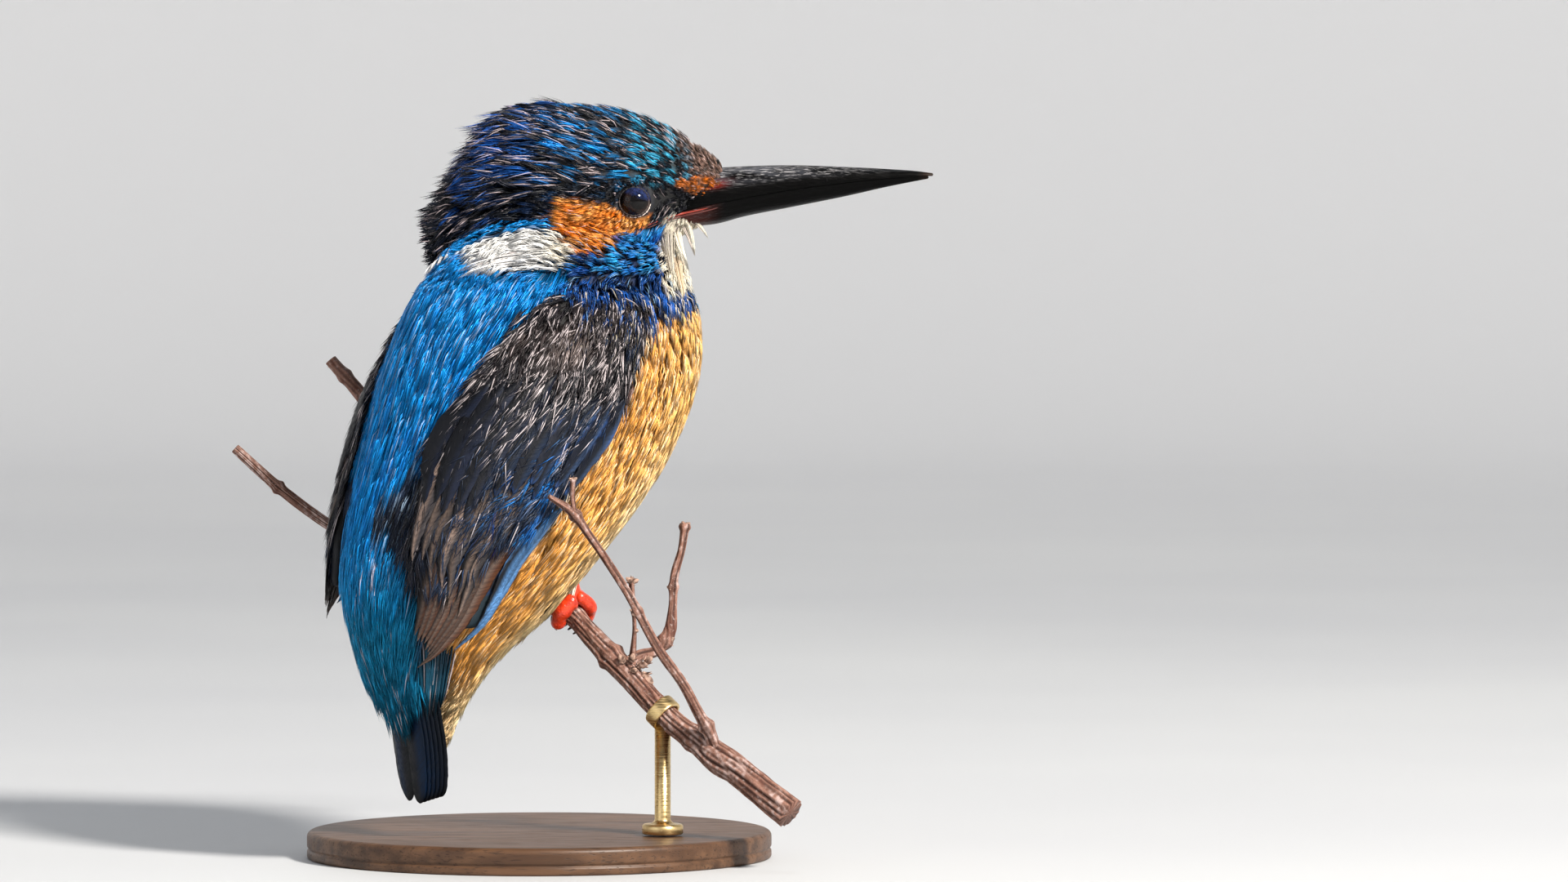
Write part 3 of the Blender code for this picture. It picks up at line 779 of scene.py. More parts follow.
def build_brass_finish():
    """Brushed brass: fine rings round the rod and a faint brown tarnish."""
    made, tree, shader = new_finish("brushed_brass", Metallic=1.0)
    brushed = patches(tree, 0.22, 0.25, 0.75, (30.0, 30.0, 1.0), 2.0)
    tarnish = patches(tree, 4.0, 0.5, 0.75)
    colour = mixed(tree, brushed, (0.66, 0.46, 0.20), (0.80, 0.60, 0.30))
    colour = mixed(tree, times(tree, tarnish, 0.6), colour, (0.30, 0.18, 0.08))
    return complete(made, tree, shader, brushed, 0.01, Base_Color=colour,
                    Roughness=sheen(tree, brushed, 0.24, 0.4))


FEATHER = build_feather_finish()
WEB = build_vane_finish()


# ---------------------------------------------------------------- markings, the same on skin and coat

NIGHT = tone(13, 18, 32)
INK = tone(9, 11, 20)
AZURE = tone(4, 146, 226)
COBALT = tone(24, 104, 206)
TEAL = tone(4, 128, 172)
DEEP_TEAL = tone(6, 78, 104)
CYAN = tone(70, 196, 240)
SLATE = tone(66, 92, 132)
UMBER = tone(74, 58, 48)
RUST = tone(176, 112, 74)
ORANGE = tone(238, 124, 12)
AMBER = tone(240, 184, 104)
FLANK = tone(234, 160, 68)
BUFF = tone(254, 226, 176)
CREAM = tone(248, 236, 214)
WHITE = tone(252, 250, 246)
# Colour of painted glints: pale strands that stand for highlights on wet barbs.
GLINT = tone(224, 204, 206)
FLESH = tone(222, 62, 22)

CHEEK = (
    (1.9, 112.0), (3.4, 116.7), (8.2, 115.6), (12.1, 115.2), (14.1, 113.6), (16.5, 112.6), (19.6, 113.3),
    (19.0, 111.2), (15.3, 109.2), (12.5, 106.2), (7.4, 105.8), (5.0, 108.4), (3.0, 111.2),
)
COLLAR = (
    (-14.7, 106.2), (-10.0, 109.0), (-2.1, 110.4), (3.4, 110.4), (5.4, 108.4), (7.4, 106.4), (5.2, 103.9),
    (-1.3, 102.7), (-8.0, 103.6), (-11.6, 104.6),
)
MALAR = (
    (9.2, 104.6), (12.0, 106.0), (14.8, 108.9), (21.0, 111.2), (22.6, 107.0), (22.4, 103.8), (17.0, 102.6),
    (10.0, 102.8),
)
THROAT = ((21.6, 112.2), (26.0, 113.5), (32.0, 114.0), (30.0, 101.0), (22.9, 99.0), (22.2, 105.0))
LORE = ((19.0, 113.0), (18.8, 117.6), (21.5, 119.0), (26.0, 119.4), (29.0, 117.6), (29.0, 113.0))
FACE = (
    (-0.5, 111.5), (2.0, 117.6), (9.5, 117.2), (12.6, 118.8), (15.5, 119.6), (21.5, 120.6), (25.5, 126.0),
    (34.0, 124.0), (34.0, 96.0), (5.0, 96.0), (6.0, 103.5), (4.0, 107.5),
)
# Turn past which the back is azure, and turn short of which the underside is orange, by height.
AZURE_EDGE = (
    (9.0, 60.0), (30.0, 100.0), (38.0, 128.0), (46.0, 133.0), (56.0, 150.0), (66.0, 158.0), (72.0, 152.0),
    (79.0, 140.0), (83.0, 131.0), (88.0, 126.0), (93.0, 121.0), (97.0, 118.0), (101.5, 116.0),
    (106.0, 110.0),
)
ORANGE_EDGE = (
    (9.0, 70.0), (30.0, 110.0), (44.0, 120.0), (52.0, 104.0), (57.0, 97.0), (63.0, 94.0), (70.0, 95.0),
    (76.0, 92.5), (82.0, 88.5), (89.0, 86.5), (94.0, 80.0), (96.3, 60.0), (97.0, 40.0), (103.0, 28.0),
    (113.0, 18.0),
)


def crown_spots(along, turn):
    """Blue spots in rows across the crown: an oval in each cell of a lattice over (along, turn), every
    second row shifted by half a cell, the cells shorter towards the bill."""
    row = 9.0 * np.log1p((34.0 - along) / 30.0) * 1.6
    cell = np.degrees(turn) / 13.0 + 0.5 * (np.floor(row) % 2)
    shape = np.hypot((row % 1 - 0.45) / 0.40, (cell % 1 - 0.5) / 0.36)
    chance = np.sin(np.floor(row) * 12.9 + np.floor(cell) * 78.2) * 43758.5
    return ease(1.15, 0.7, shape) * (0.45 + 0.55 * (chance % 1))


def head_paint(places, along, turn):
    """Colour and shine of the head by its side view, with the crown's spots by its own lattice."""
    x, z = places[..., 0], places[..., 2]
    spots = crown_spots(along, turn)
    blue = mix(COBALT, mix(AZURE, CYAN, ease(12, 20, x)), ease(-6, 9, x))
    upper = ease(117.0, 121.0, z + 0.25 * np.minimum(x, 0))
    colour = mix(NIGHT * 0.6, blue, spots * (0.10 + 0.90 * upper) * (0.35 + 0.65 * ease(-15, -6, x)))
    # Blue dashes down the side of the nape, and dusky ear coverts.
    nape = inside(x, z, ((-14.5, 109.0), (-12.0, 124.0), (-7.5, 125.0), (-9.0, 109.5)), 1.2)
    colour = mix(colour, COBALT * 0.9, 0.6 * nape * (mottle(places, 2.6, 5) > 0.35))
    shine = 0.5 * spots * upper
    forehead = ease(24.0, 28.5, x + 0.35 * (z - 122))
    dusk = mix(UMBER * 0.6, tone(164, 130, 116), 0.45 + 0.5 * mottle(places, 1.6, 6))
    colour = mix(colour, dusk, forehead * ease(116, 118, z))
    lore = inside(x, z, LORE, 0.5)
    colour = mix(colour, INK, lore)
    patch = np.hypot((x - 28.6) / 3.2, (z - 118.6) / 2.0)
    colour = mix(colour, mix(ORANGE * 0.7, UMBER * 0.8, 0.45 + 0.5 * mottle(places, 1.1, 61)),
                 ease(1.15, 0.75, patch))
    patch = np.hypot((x - 25.0) / 1.4, (z - 118.9) / 0.9)
    colour = mix(colour, mix(ORANGE, UMBER, 0.5), ease(1.2, 0.8, patch))
    malar = inside(x, z, MALAR, 0.5)
    bluish = mix(COBALT, mix(AZURE, CYAN, 0.4), 0.5 + 0.5 * mottle(places, 3.5, 7))
    colour = mix(colour, mix(bluish, NIGHT, 0.35 * (mottle(places, 1.6, 8) > 0.35)), malar)
    throat = inside(x, z, THROAT, 0.5) + ease(158, 168, np.degrees(np.abs(turn))) * ease(14.0, 18.0, x)
    colour = mix(colour, CREAM, np.clip(throat, 0, 1))
    cheek = inside(x, z, CHEEK, 0.4)
    warm = mix(ORANGE, AMBER, 0.35 + 0.35 * mottle(places, 2.5, 9))
    colour = mix(colour, warm, cheek)
    collar = inside(x, z, COLLAR, 0.4)
    colour = mix(colour, mix(WHITE, CREAM, ease(0.0, 6.0, x)), collar)
    return colour, shine * (1 - forehead) * (1 - np.maximum(collar, np.maximum(cheek, malar)))


def body_paint(places, height, turn):
    """Colour and shine of trunk and back by height and turn, the same on both sides."""
    away = degrees_away(turn)
    fleck = mottle(places, 3.0, 11)
    # On the right the pushed-up scapulars cover more of the back.
    dip = 16 * np.exp(-(((height - 66.0) / 8.0) ** 2)) * (np.sin(turn) < 0)
    azure = ease(-2.5, 2.5, away - rows_at(AZURE_EDGE, height)[..., 1] - dip + 3 * mottle(places, 5.0, 12))
    orange = ease(-2.0, 2.0, rows_at(ORANGE_EDGE, height)[..., 1] - away)
    colour = mix(NIGHT, SLATE, 0.18 + 0.18 * fleck)
    band = ease(93.5, 96.0, height) * ease(34, 44, away) * ease(130, 118, away)
    colour = mix(colour, mix(NIGHT, COBALT, 0.38 + 0.42 * fleck), band)
    back = mix(AZURE, COBALT, 0.35 * ease(0.2, 0.9, fleck))
    back = mix(back, TEAL, ease(66.0, 44.0, height))
    back = mix(back, DEEP_TEAL, ease(38.0, 24.0, height) * 0.7)
    colour = mix(colour, back, azure)
    under = mix(AMBER, FLANK, ease(45, 80, away) * 0.8 + 0.2 * fleck)
    under = mix(under, BUFF, ease(64, 30, away) * ease(84, 62, height) * 0.75)
    under = mix(under, BUFF, ease(40.0, 30.0, height) * 0.7)
    under = mix(under, CREAM, ease(36, 12, away) * ease(94, 100, height))
    colour = mix(colour, under, orange)
    return colour, azure * 0.5


def wing_paint(places, height, share):
    """Colour and shine of the wing's small coverts: blue-black with azure spots, browner towards the
    shoulder."""
    fleck = mottle(places, 2.6, 21)
    colour = mix(NIGHT * 0.8, UMBER, 0.22 * ease(78.0, 92.0, height) + 0.12 * fleck)
    colour = mix(colour, SLATE * 0.8,
                 (0.35 + 0.3 * fleck) * ease(84.0, 70.0, height) * ease(0.95, 0.7, share))
    spots = ease(0.35, 0.8, mottle(places, 3.6, 22)) * ease(82.0, 70.0, height) * ease(0.65, 0.3, share)
    colour = mix(colour, mix(COBALT, AZURE, 0.5 + 0.5 * fleck), 0.75 * spots)
    brown = np.exp(-(((height - 90.5) / 3.2) ** 2) - ((share - 0.62) / 0.13) ** 2)
    colour = mix(colour, tone(126, 112, 108), 0.8 * brown)
    return colour, 0.4 * spots


# ---------------------------------------------------------------- the coat


def scatter(rng, surface, low, high, count, density):
    """Count root places drawn evenly over a surface's area, more where the density says."""
    first = rng.uniform(low[0], high[0], count * 40)
    second = rng.uniform(low[1], high[1], count * 40)
    here, _, _, _, rate_u, rate_v = basis(surface, first, second, 0.0)
    weight = np.linalg.norm(np.cross(rate_u, rate_v), axis=-1) * density(here, first, second)
    chosen = rng.choice(len(first), count, replace=False, p=weight / weight.sum())
    return first[chosen], second[chosen]


def prism_body(points, side, up, half):
    """Three-sided strands, (strand, corner, 3), from middle lines (strand, ring, 3): three corners round
    each ring, half wide, and the last ring drawn to the tip."""
    corners = [points + side * half, points + up * half * STRAND_RISE, points - side * half]
    ring = np.stack(corners, 2)[:, :-1]
    return np.concatenate([ring.reshape(len(points), -1, 3), points[:, -1:]], axis=1)


def prisms(name, body, corner, colours, slot):
    """One coat piece of three-sided strands; corner is where each one's small patch of the UV map
    starts."""
    count, size = body.shape[:2]
    rings = size // 3
    i, j = np.meshgrid(np.arange(rings - 1) * 3, np.arange(3), indexing="ij")
    k = (j + 1) % 3
    quads = np.stack([i + j, i + 3 + j, i + 3 + k, i + k], -1).reshape(-1, 4)
    j, last = np.arange(3), (rings - 1) * 3
    tips = np.stack([last + j, np.full(3, rings * 3), last + (j + 1) % 3], -1)
    triangles = np.concatenate([[[0, 1, 2]], tips])
    stride = np.arange(count)[:, None, None] * size
    patch_u = np.append(np.tile([0.0, 0.5, 1.0], rings), 0.5)
    patch_v = np.append(np.repeat(np.linspace(0, 1, rings + 1)[:-1], 3), 1.0)
    uv = corner[:, None] + UV_PATCH * np.stack([patch_u, patch_v], -1)
    finish(mesh_piece(
        name, body.reshape(-1, 3), quads + stride, triangles + stride, FEATHER, colours.reshape(-1, 4),
        uv.reshape(-1, 2),
    ), slot)


def strands(name, rng, surface, roots, heading, paint, span, slot="plumage", members=5, rings=3, length=5.0,
            depth=1.6, spread=1.2, draw=0.25, lift=0.4, stiff=0.0, width=0.3, glint=0.1,
            mark=0.65, skip=None, fluff=0.15, shade=0.4, uneven=0.15, loose=0.6, tint=GLINT, sway=0.0):
    """A coat piece: at each root a lock of thin three-sided strands that starts in the skin, lies along the
    surface by the heading and draws together at its tip.

    Each strand's middle line is the lock's path, shifted across it, raised by depth times its layer and by
    lift times the square of its share, and bent towards a straight run by stiff. Length, depth, spread,
    lift, stiff, glint and shade are numbers or one value for each lock. A lock's heading strays by sway; a
    strand strays by fluff and sinks by loose; its brightness varies by uneven, is darker towards its lock's
    edges as painted shade, and runs from shade at its root, painted shade where the strands crowd, to a
    little brighter at its tip; a share of them, glint, takes the tint as painted glints, highlights on wet
    barbs. The markings are read at the share called mark.
    """
    first0, second0 = roots
    locks = len(first0)
    length = np.broadcast_to(length, (locks,)) * rng.uniform(0.8, 1.2, locks)
    depth, spread, lift, stiff, glint, shade = (
        np.broadcast_to(x, (locks,)) for x in (depth, spread, lift, stiff, glint, shade)
    )
    aside = rng.normal(0, sway, locks)
    path = lie(surface, first0, second0, -depth, lambda a, b: heading(a, b) + aside, length, LOCK_STEPS)
    lock = np.repeat(np.arange(locks), members)
    count = len(lock)
    layer = np.clip(rng.random(locks)[lock] + rng.normal(0, 0.12, count), 0, 1)
    off = rng.uniform(-1, 1, count)
    start = rng.uniform(0, 0.3, count)
    end = 1 - rng.uniform(0, 0.25, count) * np.abs(off) - rng.uniform(0, 0.08, count)
    share = start + (end - start) * np.linspace(0, 1, rings + 1)[:, None]

    def on_path(share):
        """Both of the surface's parameters at a share of each strand's lock."""
        place = np.clip(share * LOCK_STEPS, 0, LOCK_STEPS - 1e-6)
        i = place.astype(int)
        t = place - i
        return [path[i, n, lock] * (1 - t) + path[i + 1, n, lock] * t for n in (0, 1)]

    first, second = on_path(share)
    points, down, across, out, _, _ = basis(surface, first, second, -depth[lock])
    angle = (heading(first, second) + aside[lock])[..., None]
    flow = down * np.cos(angle) + across * np.sin(angle)
    side = np.cross(flow, out)
    run = (share - start)[..., None] * length[lock][:, None]
    straight = points[0] + flow[0] * run
    bend = (stiff[lock] * ease(0, 1, share))[..., None]
    points = points * (1 - bend) + straight * bend
    closing = 1 - (1 - draw) * share**1.4
    stray = rng.normal(0, fluff, count) * share**2 * length[lock] * 0.2
    points += side * ((off * spread[lock] / 2) * closing + stray)[..., None]
    rise = depth[lock] * (1 - loose * (1 - layer)) * ease(-0.1, 0.6, share) - 0.22 * off**2
    rise += (lift[lock] + rng.normal(0, fluff, count)) * share**2
    rise[0] = -0.1
    points += out * rise[..., None]

    along = unit(np.gradient(points, axis=0))
    side = unit(np.cross(along, out))
    breadth = width * rng.uniform(0.75, 1.25, count) / 2
    profile = np.array({2: [0.9, 0.85, 0.0], 3: [0.9, 1.0, 0.6, 0.0]}[rings])
    half = (profile[:, None] * breadth)[..., None]
    body = prism_body(*(part.swapaxes(0, 1) for part in (points, side, np.cross(side, along), half)))

    here = on_path(np.clip(mark, start, end))
    colour, shine = paint(surface(*here, 0.0), *here)
    value = rng.uniform(1 - uneven, 1 + uneven, locks)[lock] * rng.uniform(1 - uneven, 1 + uneven, count)
    # Painted shade: strands towards the edges of a lock are darker, as the rounded sides of the lock would
    # be.
    value *= 1.08 - 0.3 * off**2
    # Painted glints: a share of the strands, glint, is mixed towards the tint to stand for highlights.
    pale = rng.random(count) < glint[lock]
    colour = np.where(pale[:, None], mix(colour, tint, 0.6), colour * value[:, None])
    # Painted shade: each strand is darkened towards its root, down to shade, where the strands crowd near
    # the skin, and is a little brighter at its tip.
    t = np.linspace(0, 1, rings + 1)
    painted_root_shade = np.interp(t, [0, 0.4, 1], [0, 0.92, 1.1]) + shade[lock][:, None] * np.interp(t, [0, 0.4], [1, 0])
    painted_root_shade = np.concatenate([np.repeat(painted_root_shade[:, :-1], 3, axis=1), painted_root_shade[:, -1:]], axis=1)
    colours = np.ones((*body.shape[:2], 4))
    colours[..., :3] = np.clip(colour[:, None] * painted_root_shade[..., None], 0, 1)
    colours[..., 3] = np.where(pale, 0.15, shine)[:, None]

    if skip is not None:
        kept = ~skip(points)
        body, colours, lock = body[kept], colours[kept], lock[kept]
    (low_u, low_v), (high_u, high_v) = span
    at_u = 0.004 + 0.985 * (first0 - low_u) / (high_u - low_u)
    at_v = 0.004 + 0.985 * (second0 - low_v) / (high_v - low_v)
    corner = np.stack([at_v[lock] + 0.001 * (np.arange(len(body)) % members), at_u[lock]], -1)
    prisms(name, body, np.clip(corner, 0, 0.996), colours, slot)


def wisps(name, rng, rows):
    """Listed locks that stand free of the coat. Each row is (start, bend, end, strands, half width,
    strand width, colour): strands run along a curve from start to end drawn towards bend, spread over the
    half width where they start and gathered at the end."""
    share = np.linspace(0, 1, 5)[:, None]
    profile = np.array([0.8, 1.0, 0.9, 0.7, 0.0])[:, None]
    # Painted shade: each wisp strand is darker towards its root and a little brighter at its tip.
    painted_root_shade = np.append(np.repeat([0.5, 0.85, 1.0, 1.1], 3), 1.15)[:, None]
    close = (1 - share) ** 0.9 * 0.92 + 0.08
    bodies, colours, corners = [], [], []
    for start, bend, end, number, half, width, colour in rows:
        start, bend, end = (np.array(p, float) for p in (start, bend, end))
        middle = (1 - share) ** 2 * start + 2 * share * (1 - share) * bend + share**2 * end
        along = unit(np.gradient(middle, axis=0))
        side = unit(np.cross(along, [0.15, 0.95, 0.25]))
        out = np.cross(side, along)
        off = rng.normal(0, 0.5, (number, 1, 2)) * half
        points = start + (middle - start) * rng.uniform(0.8, 1.05, (number, 1, 1))
        points = points + side * off[..., :1] * close + out * off[..., 1:] * close * 0.7
        bodies.append(prism_body(points, side, out,
                                 width * rng.uniform(0.7, 1.3, (number, 1, 1)) * profile / 2))
        value = rng.uniform(0.7, 1.25, (number, 1, 1)) * painted_root_shade
        # Painted glints: about one strand in eight is mixed towards GLINT to stand for a highlight.
        pale = rng.random((number, 1, 1)) < 0.12
        shown = np.where(pale, mix(colour, GLINT, 0.5), colour) * value
        colours.append(np.pad(np.clip(shown, 0, 1), ((0, 0), (0, 0), (0, 1)), constant_values=0.1))
        corners.append(np.tile([(start[0] + 60) / 140, start[2] / 150], (number, 1)))
    prisms(name, np.concatenate(bodies), np.concatenate(corners), np.concatenate(colours), "plumage")


def from_eye(places):
    """How far places lie from the middle of the eye, seen from the side."""
    return np.hypot(places[..., 0] - EYE_ALONG, places[..., 2] - EYE_HEIGHT)


def near_eye(points):
    """Whether a strand passes over an eye."""
    outer = np.abs(points[..., 1] - HEAD_ACROSS) > 5.0
    return ((from_eye(points) < EYE_CLEAR - 0.03) & outer).any(0)


def head_heading(along, turn):
    """Backward along the head: a little up over the crown, down over the malar and throat, parting at the
    eye."""
    away = np.degrees(np.abs(turn))
    down = (-10 + 58 * ease(95, 150, away) * ease(2, 12, along)
            + 14 * ease(70, 110, away) * ease(4, -8, along))
    here = head_at(along, turn, 0.0)
    x, z = here[..., 0] - EYE_ALONG, here[..., 2] - EYE_HEIGHT
    parting = 55 * np.exp(-(((x - 3.0) / 4.0) ** 2) - (z / 3.0) ** 2) * -np.tanh(z / 0.6)
    return np.radians(down + parting) * np.sign(turn)


# ---------------------------------------------------------------- coat regions


def head_depth(along, turn):
    """Depth of the coat on the head: thin on the face, deep on the nape."""
    away = np.degrees(np.abs(turn))
    depth = np.interp(along, [-18, -10, 0, 14, 22, 33], [1.6, 2.6, 2.1, 1.6, 1.1, 0.5])
    return depth * (1 - 0.4 * ease(85, 125, away) * ease(0, 8, along))


def body_depth(height):
    """Depth of the coat on trunk and back: thin at the vent's end, deepest on the belly."""
    return np.interp(height, [9, 24, 34, 46, 60, 100, 112], [0.3, 0.9, 1.7, 2.2, 2.2, 2.0, 1.6])


def grow_head(rng):
    whole = (-19.0, -math.pi), (33.5, math.pi)

    def share_of(outline, here, soft=0.4):
        return inside(here[..., 0], here[..., 2], outline, soft)

    def clear_of_trunk(here, turn):
        """The head's surface shows only above where the neck's runs out to it, which is lower on the
        left."""
        return here[..., 2] > 108.5 - 5.0 * ease(12.0, 24.0, here[..., 0]) - 4.5 * (turn > 0)

    def on_top(here, along, turn):
        clear = here[..., 2] > 103.0 + 0.2 * np.maximum(0, -here[..., 0] - 10)
        return (clear * (1 - share_of(FACE, here)) * (along < 32) * (along > -18.8)
                * (1 + 0.9 * ease(4, 26, along)))

    def on_face(here, along, turn):
        clear = from_eye(here) > EYE_CLEAR
        gape = np.abs(here[..., 2] - (111.6 + (here[..., 0] - 19.4) * 0.31)) > 0.7
        return (share_of(FACE, here) * clear * clear_of_trunk(here, turn) * (gape | (here[..., 0] < 19.0))
                * (along < 32.6))

    along, turn = scatter(rng, head_at, *whole, 2400, on_top)
    place = head_at(along, turn, 0.0)
    rear = ease(3.0, -8.0, along)
    # Some wet locks stand clear of the rest, mostly on the crest.
    ragged = (rng.random(len(along)) < 0.16) * ease(16.0, 2.0, along) * ease(112, 120, place[..., 2])
    length = np.interp(along, [-19, -12, 0, 8, 20, 32], [2.4, 4.4, 7.0, 7.2, 5.6, 2.8]) * (1 + 0.2 * ragged)
    # The crown's glints are painted highlights, a few more towards the bill.
    strands(
        "coat_crown", rng, head_at, (along, turn), head_heading, head_paint, whole, members=5, mark=0.5,
        length=length, depth=head_depth(along, turn),
        spread=np.interp(along, [-10, 20, 32], [1.7, 1.2, 0.7]), draw=0.10,
        lift=0.25 + 0.9 * rear * ease(106, 112, place[..., 2]) + 1.3 * ragged,
        stiff=0.12 + 0.3 * rear + 0.45 * ragged, width=0.27,
        glint=np.interp(along, [-12, 10, 30], [0.15, 0.17, 0.20]), skip=near_eye, uneven=0.35,
        shade=0.15, loose=0.9, sway=0.2, fluff=0.25,
    )
    along, turn = scatter(rng, head_at, *whole, 3700, on_face)
    size = np.interp(from_eye(head_at(along, turn, 0.0)), [2.6, 4.2, 7, 14], [1.0, 1.9, 3.6, 4.6])
    size = np.where(along > 25, 1.7, size)
    strands(
        "coat_face", rng, head_at, (along, turn), head_heading, head_paint, whole, members=5, length=size,
        depth=head_depth(along, turn) * 0.8, spread=0.8, draw=0.4, lift=0.12, width=0.17, glint=0.05,
        skip=near_eye, rings=2, sway=0.12,
    )


def neck_paint(places, height, turn):
    """The head's markings where they run down over the neck, and the trunk's elsewhere."""
    x, z = places[..., 0], places[..., 2]
    body, shine = body_paint(places, height, turn)
    head, _ = head_paint(places, x, np.full(np.shape(x), 1.8))
    share = np.maximum(inside(x, z, COLLAR, 0.5), inside(x, z, CHEEK, 0.4))
    share = np.maximum(share, np.maximum(inside(x, z, MALAR, 0.8), inside(x, z, THROAT, 0.6)))
    share = np.maximum(share, ease(14, 8, degrees_away(turn)) * ease(98, 102, z))
    return mix(body, head, share), shine * (1 - share)


def neck_heading(height, turn):
    """Down the throat; back and down from the cheek; almost level back along the white patch."""
    away = degrees_away(turn)
    back = (10 + 45 * ease(20, 70, away) * ease(99, 104, height)
            + 22 * ease(60, 95, away) * ease(102, 105, height))
    back = back * ease(165, 120, away) * ease(6, 30, away)
    return np.radians(back) * side_of(turn)


def grow_neck(rng):
    whole = (93.0, -math.pi), (114.4, math.pi)

    def covered(here, height, turn):
        away = degrees_away(turn)
        under_head = (height > 109) * (away > 120)
        roof = (height < 112.4) | ((turn > 0) & (away > 20) & (away < 115))
        start = np.interp(away, [0, 30, 45, 105, 118, 130], [98.5, 98.5, 94.5, 95.5, 100.0, 101.5])
        return (height > start) * (1 - 0.4 * under_head) * roof

    height, turn = scatter(rng, back_at, *whole, 2700, covered)
    place = back_at(height, turn, 0.0)
    white = inside(place[..., 0], place[..., 2], COLLAR, 1.0)
    # The neck's glints, in a pale blue tint, are painted highlights; the white patch has none.
    strands(
        "coat_neck", rng, back_at, (height, turn), neck_heading, neck_paint, whole, members=6,
        length=4.6 + 1.9 * white, depth=body_depth(height) * 0.85 + 0.4 * white, spread=1.2, draw=0.25,
        lift=0.25 + 0.35 * white, stiff=0.1 + 0.15 * white, width=0.22, glint=0.08 * (1 - white), mark=0.4,
        skip=near_eye, shade=0.35 + 0.6 * white, tint=tone(150, 196, 232), rings=2, sway=0.12,
    )


def straight_down(height, turn):
    return 0.0 * height


def back_heading(height, turn):
    """Down the back, drawn a little in towards the spine below the shoulders."""
    away = degrees_away(turn)
    inward = 14 * ease(60.0, 90.0, height) * ease(175, 140, away)
    return np.radians(inward) * side_of(turn)


def grow_back(rng):
    whole = (9.5, 0.35 * math.pi), (107.0, 1.65 * math.pi)

    def mantle(here, height, turn):
        away = degrees_away(turn)
        edge = rows_at(AZURE_EDGE, height)[..., 1]
        return (height > 57) * (height < 105.5) * ease(edge - 6, edge, away) * (away > 88)

    def rump(here, height, turn):
        away = degrees_away(turn)
        edge = rows_at(AZURE_EDGE, height)[..., 1]
        start = (29.0 + 7.0 * ease(172, 146, away) * (turn > math.pi)
                 + 7.0 * ease(172, 140, away) * (turn < math.pi))
        return (height < 60) * ease(start - 1.5, start + 4.0, height) * ease(edge - 5, edge, away)

    height, turn = scatter(rng, back_at, *whole, 2500, mantle)
    scapular = (np.exp(-(((degrees_away(turn) - 165) / 8) ** 2) - ((height - 66) / 8) ** 2)
                * (turn > math.pi))
    # The mantle's glints, in a pale blue tint, are painted highlights, more towards its top and over the
    # right scapulars.
    strands(
        "coat_mantle", rng, back_at, (height, turn), back_heading, body_paint, whole, members=7,
        length=13.0, depth=body_depth(height), spread=2.0, draw=0.25,
        lift=0.15 + 0.5 * scapular, stiff=0.08, width=0.27,
        glint=0.03 + 0.10 * ease(70, 96, height) + 0.2 * scapular, mark=0.3, fluff=0.08, uneven=0.24,
        tint=tone(176, 204, 232), rings=2, shade=0.12, sway=0.05,
    )
    height, turn = scatter(rng, back_at, *whole, 1700, rump)
    scapular = (np.exp(-(((degrees_away(turn) - 163) / 9) ** 2) - ((height - 62) / 6) ** 2)
                * (turn > math.pi))
    # The rump's glints are painted highlights, mostly over the right scapulars.
    strands(
        "coat_rump", rng, back_at, (height, turn), straight_down, body_paint, whole, members=6,
        length=np.interp(height, [30, 38, 45, 60], [9.5, 11.0, 13.5, 12.0]), depth=body_depth(height) + 0.3,
        spread=2.4, draw=0.10, lift=0.35, stiff=0.15, width=0.34, glint=0.02 + 0.25 * scapular,
        mark=0.3, fluff=0.12, uneven=0.3, shade=0.12, sway=0.07,
    )


def belly_heading(height, turn):
    """Down the underside, easing back round the flanks."""
    return np.radians(8 + 10 * ease(60, 40, height)) * np.sign(turn)


def clear_of_feet(points):
    """Whether a strand would run through a foot or the twig."""
    hit = np.zeros(points.shape[1], bool)
    twig = np.array([row for row in PERCH if -12 < row[0] < 20])
    key = np.linspace(0, 1, len(twig))
    for t in np.linspace(0, 1, 60):
        middle = np.array([np.interp(t, key, twig[:, k]) for k in range(3)])
        hit |= (np.linalg.norm(points[1:] - middle, axis=-1) < 2.2).any(0)
    return hit


def grow_underside(rng):
    whole = (17.0, -math.pi), (106.0, math.pi)
    for side, sign in (("right", -1), ("left", 1)):

        def covered(here, height, turn, sign=sign):
            away = degrees_away(turn)
            edge = rows_at(ORANGE_EDGE, height)[..., 1]
            low = np.where(height < 45, 179.0,
                           np.maximum(edge + 1 + 9 * (height < 62), 112 * (height > 94)))
            near = (np.sign(turn) == sign) * (away < low) * (height > 19) * (height < 101)
            return near * (0.6 + 0.4 * ((away < 95) | (height < 42)))

        height, turn = scatter(rng, under_at, *whole, 2500 if sign < 0 else 2200, covered)
        away = degrees_away(turn)
        low = ease(66, 48, height) * ease(100, 60, away)
        # The underside's glints, in a cream tint, are painted highlights.
        strands(
            "coat_belly_" + side, rng, under_at, (height, turn), belly_heading, body_paint,
            whole, members=7,
            length=np.interp(height, [19, 30, 45, 60, 90, 104], [6.0, 9.0, 12.0, 12.0, 9.5, 5.5]),
            depth=body_depth(height), spread=1.7, draw=0.25, lift=0.2 + 0.5 * low, stiff=0.1 + 0.2 * low,
            width=0.27, glint=0.20, mark=0.3, skip=clear_of_feet, shade=0.9, uneven=0.09, loose=0.12,
            fluff=0.07, tint=tone(255, 240, 206), rings=2, sway=0.07,
        )


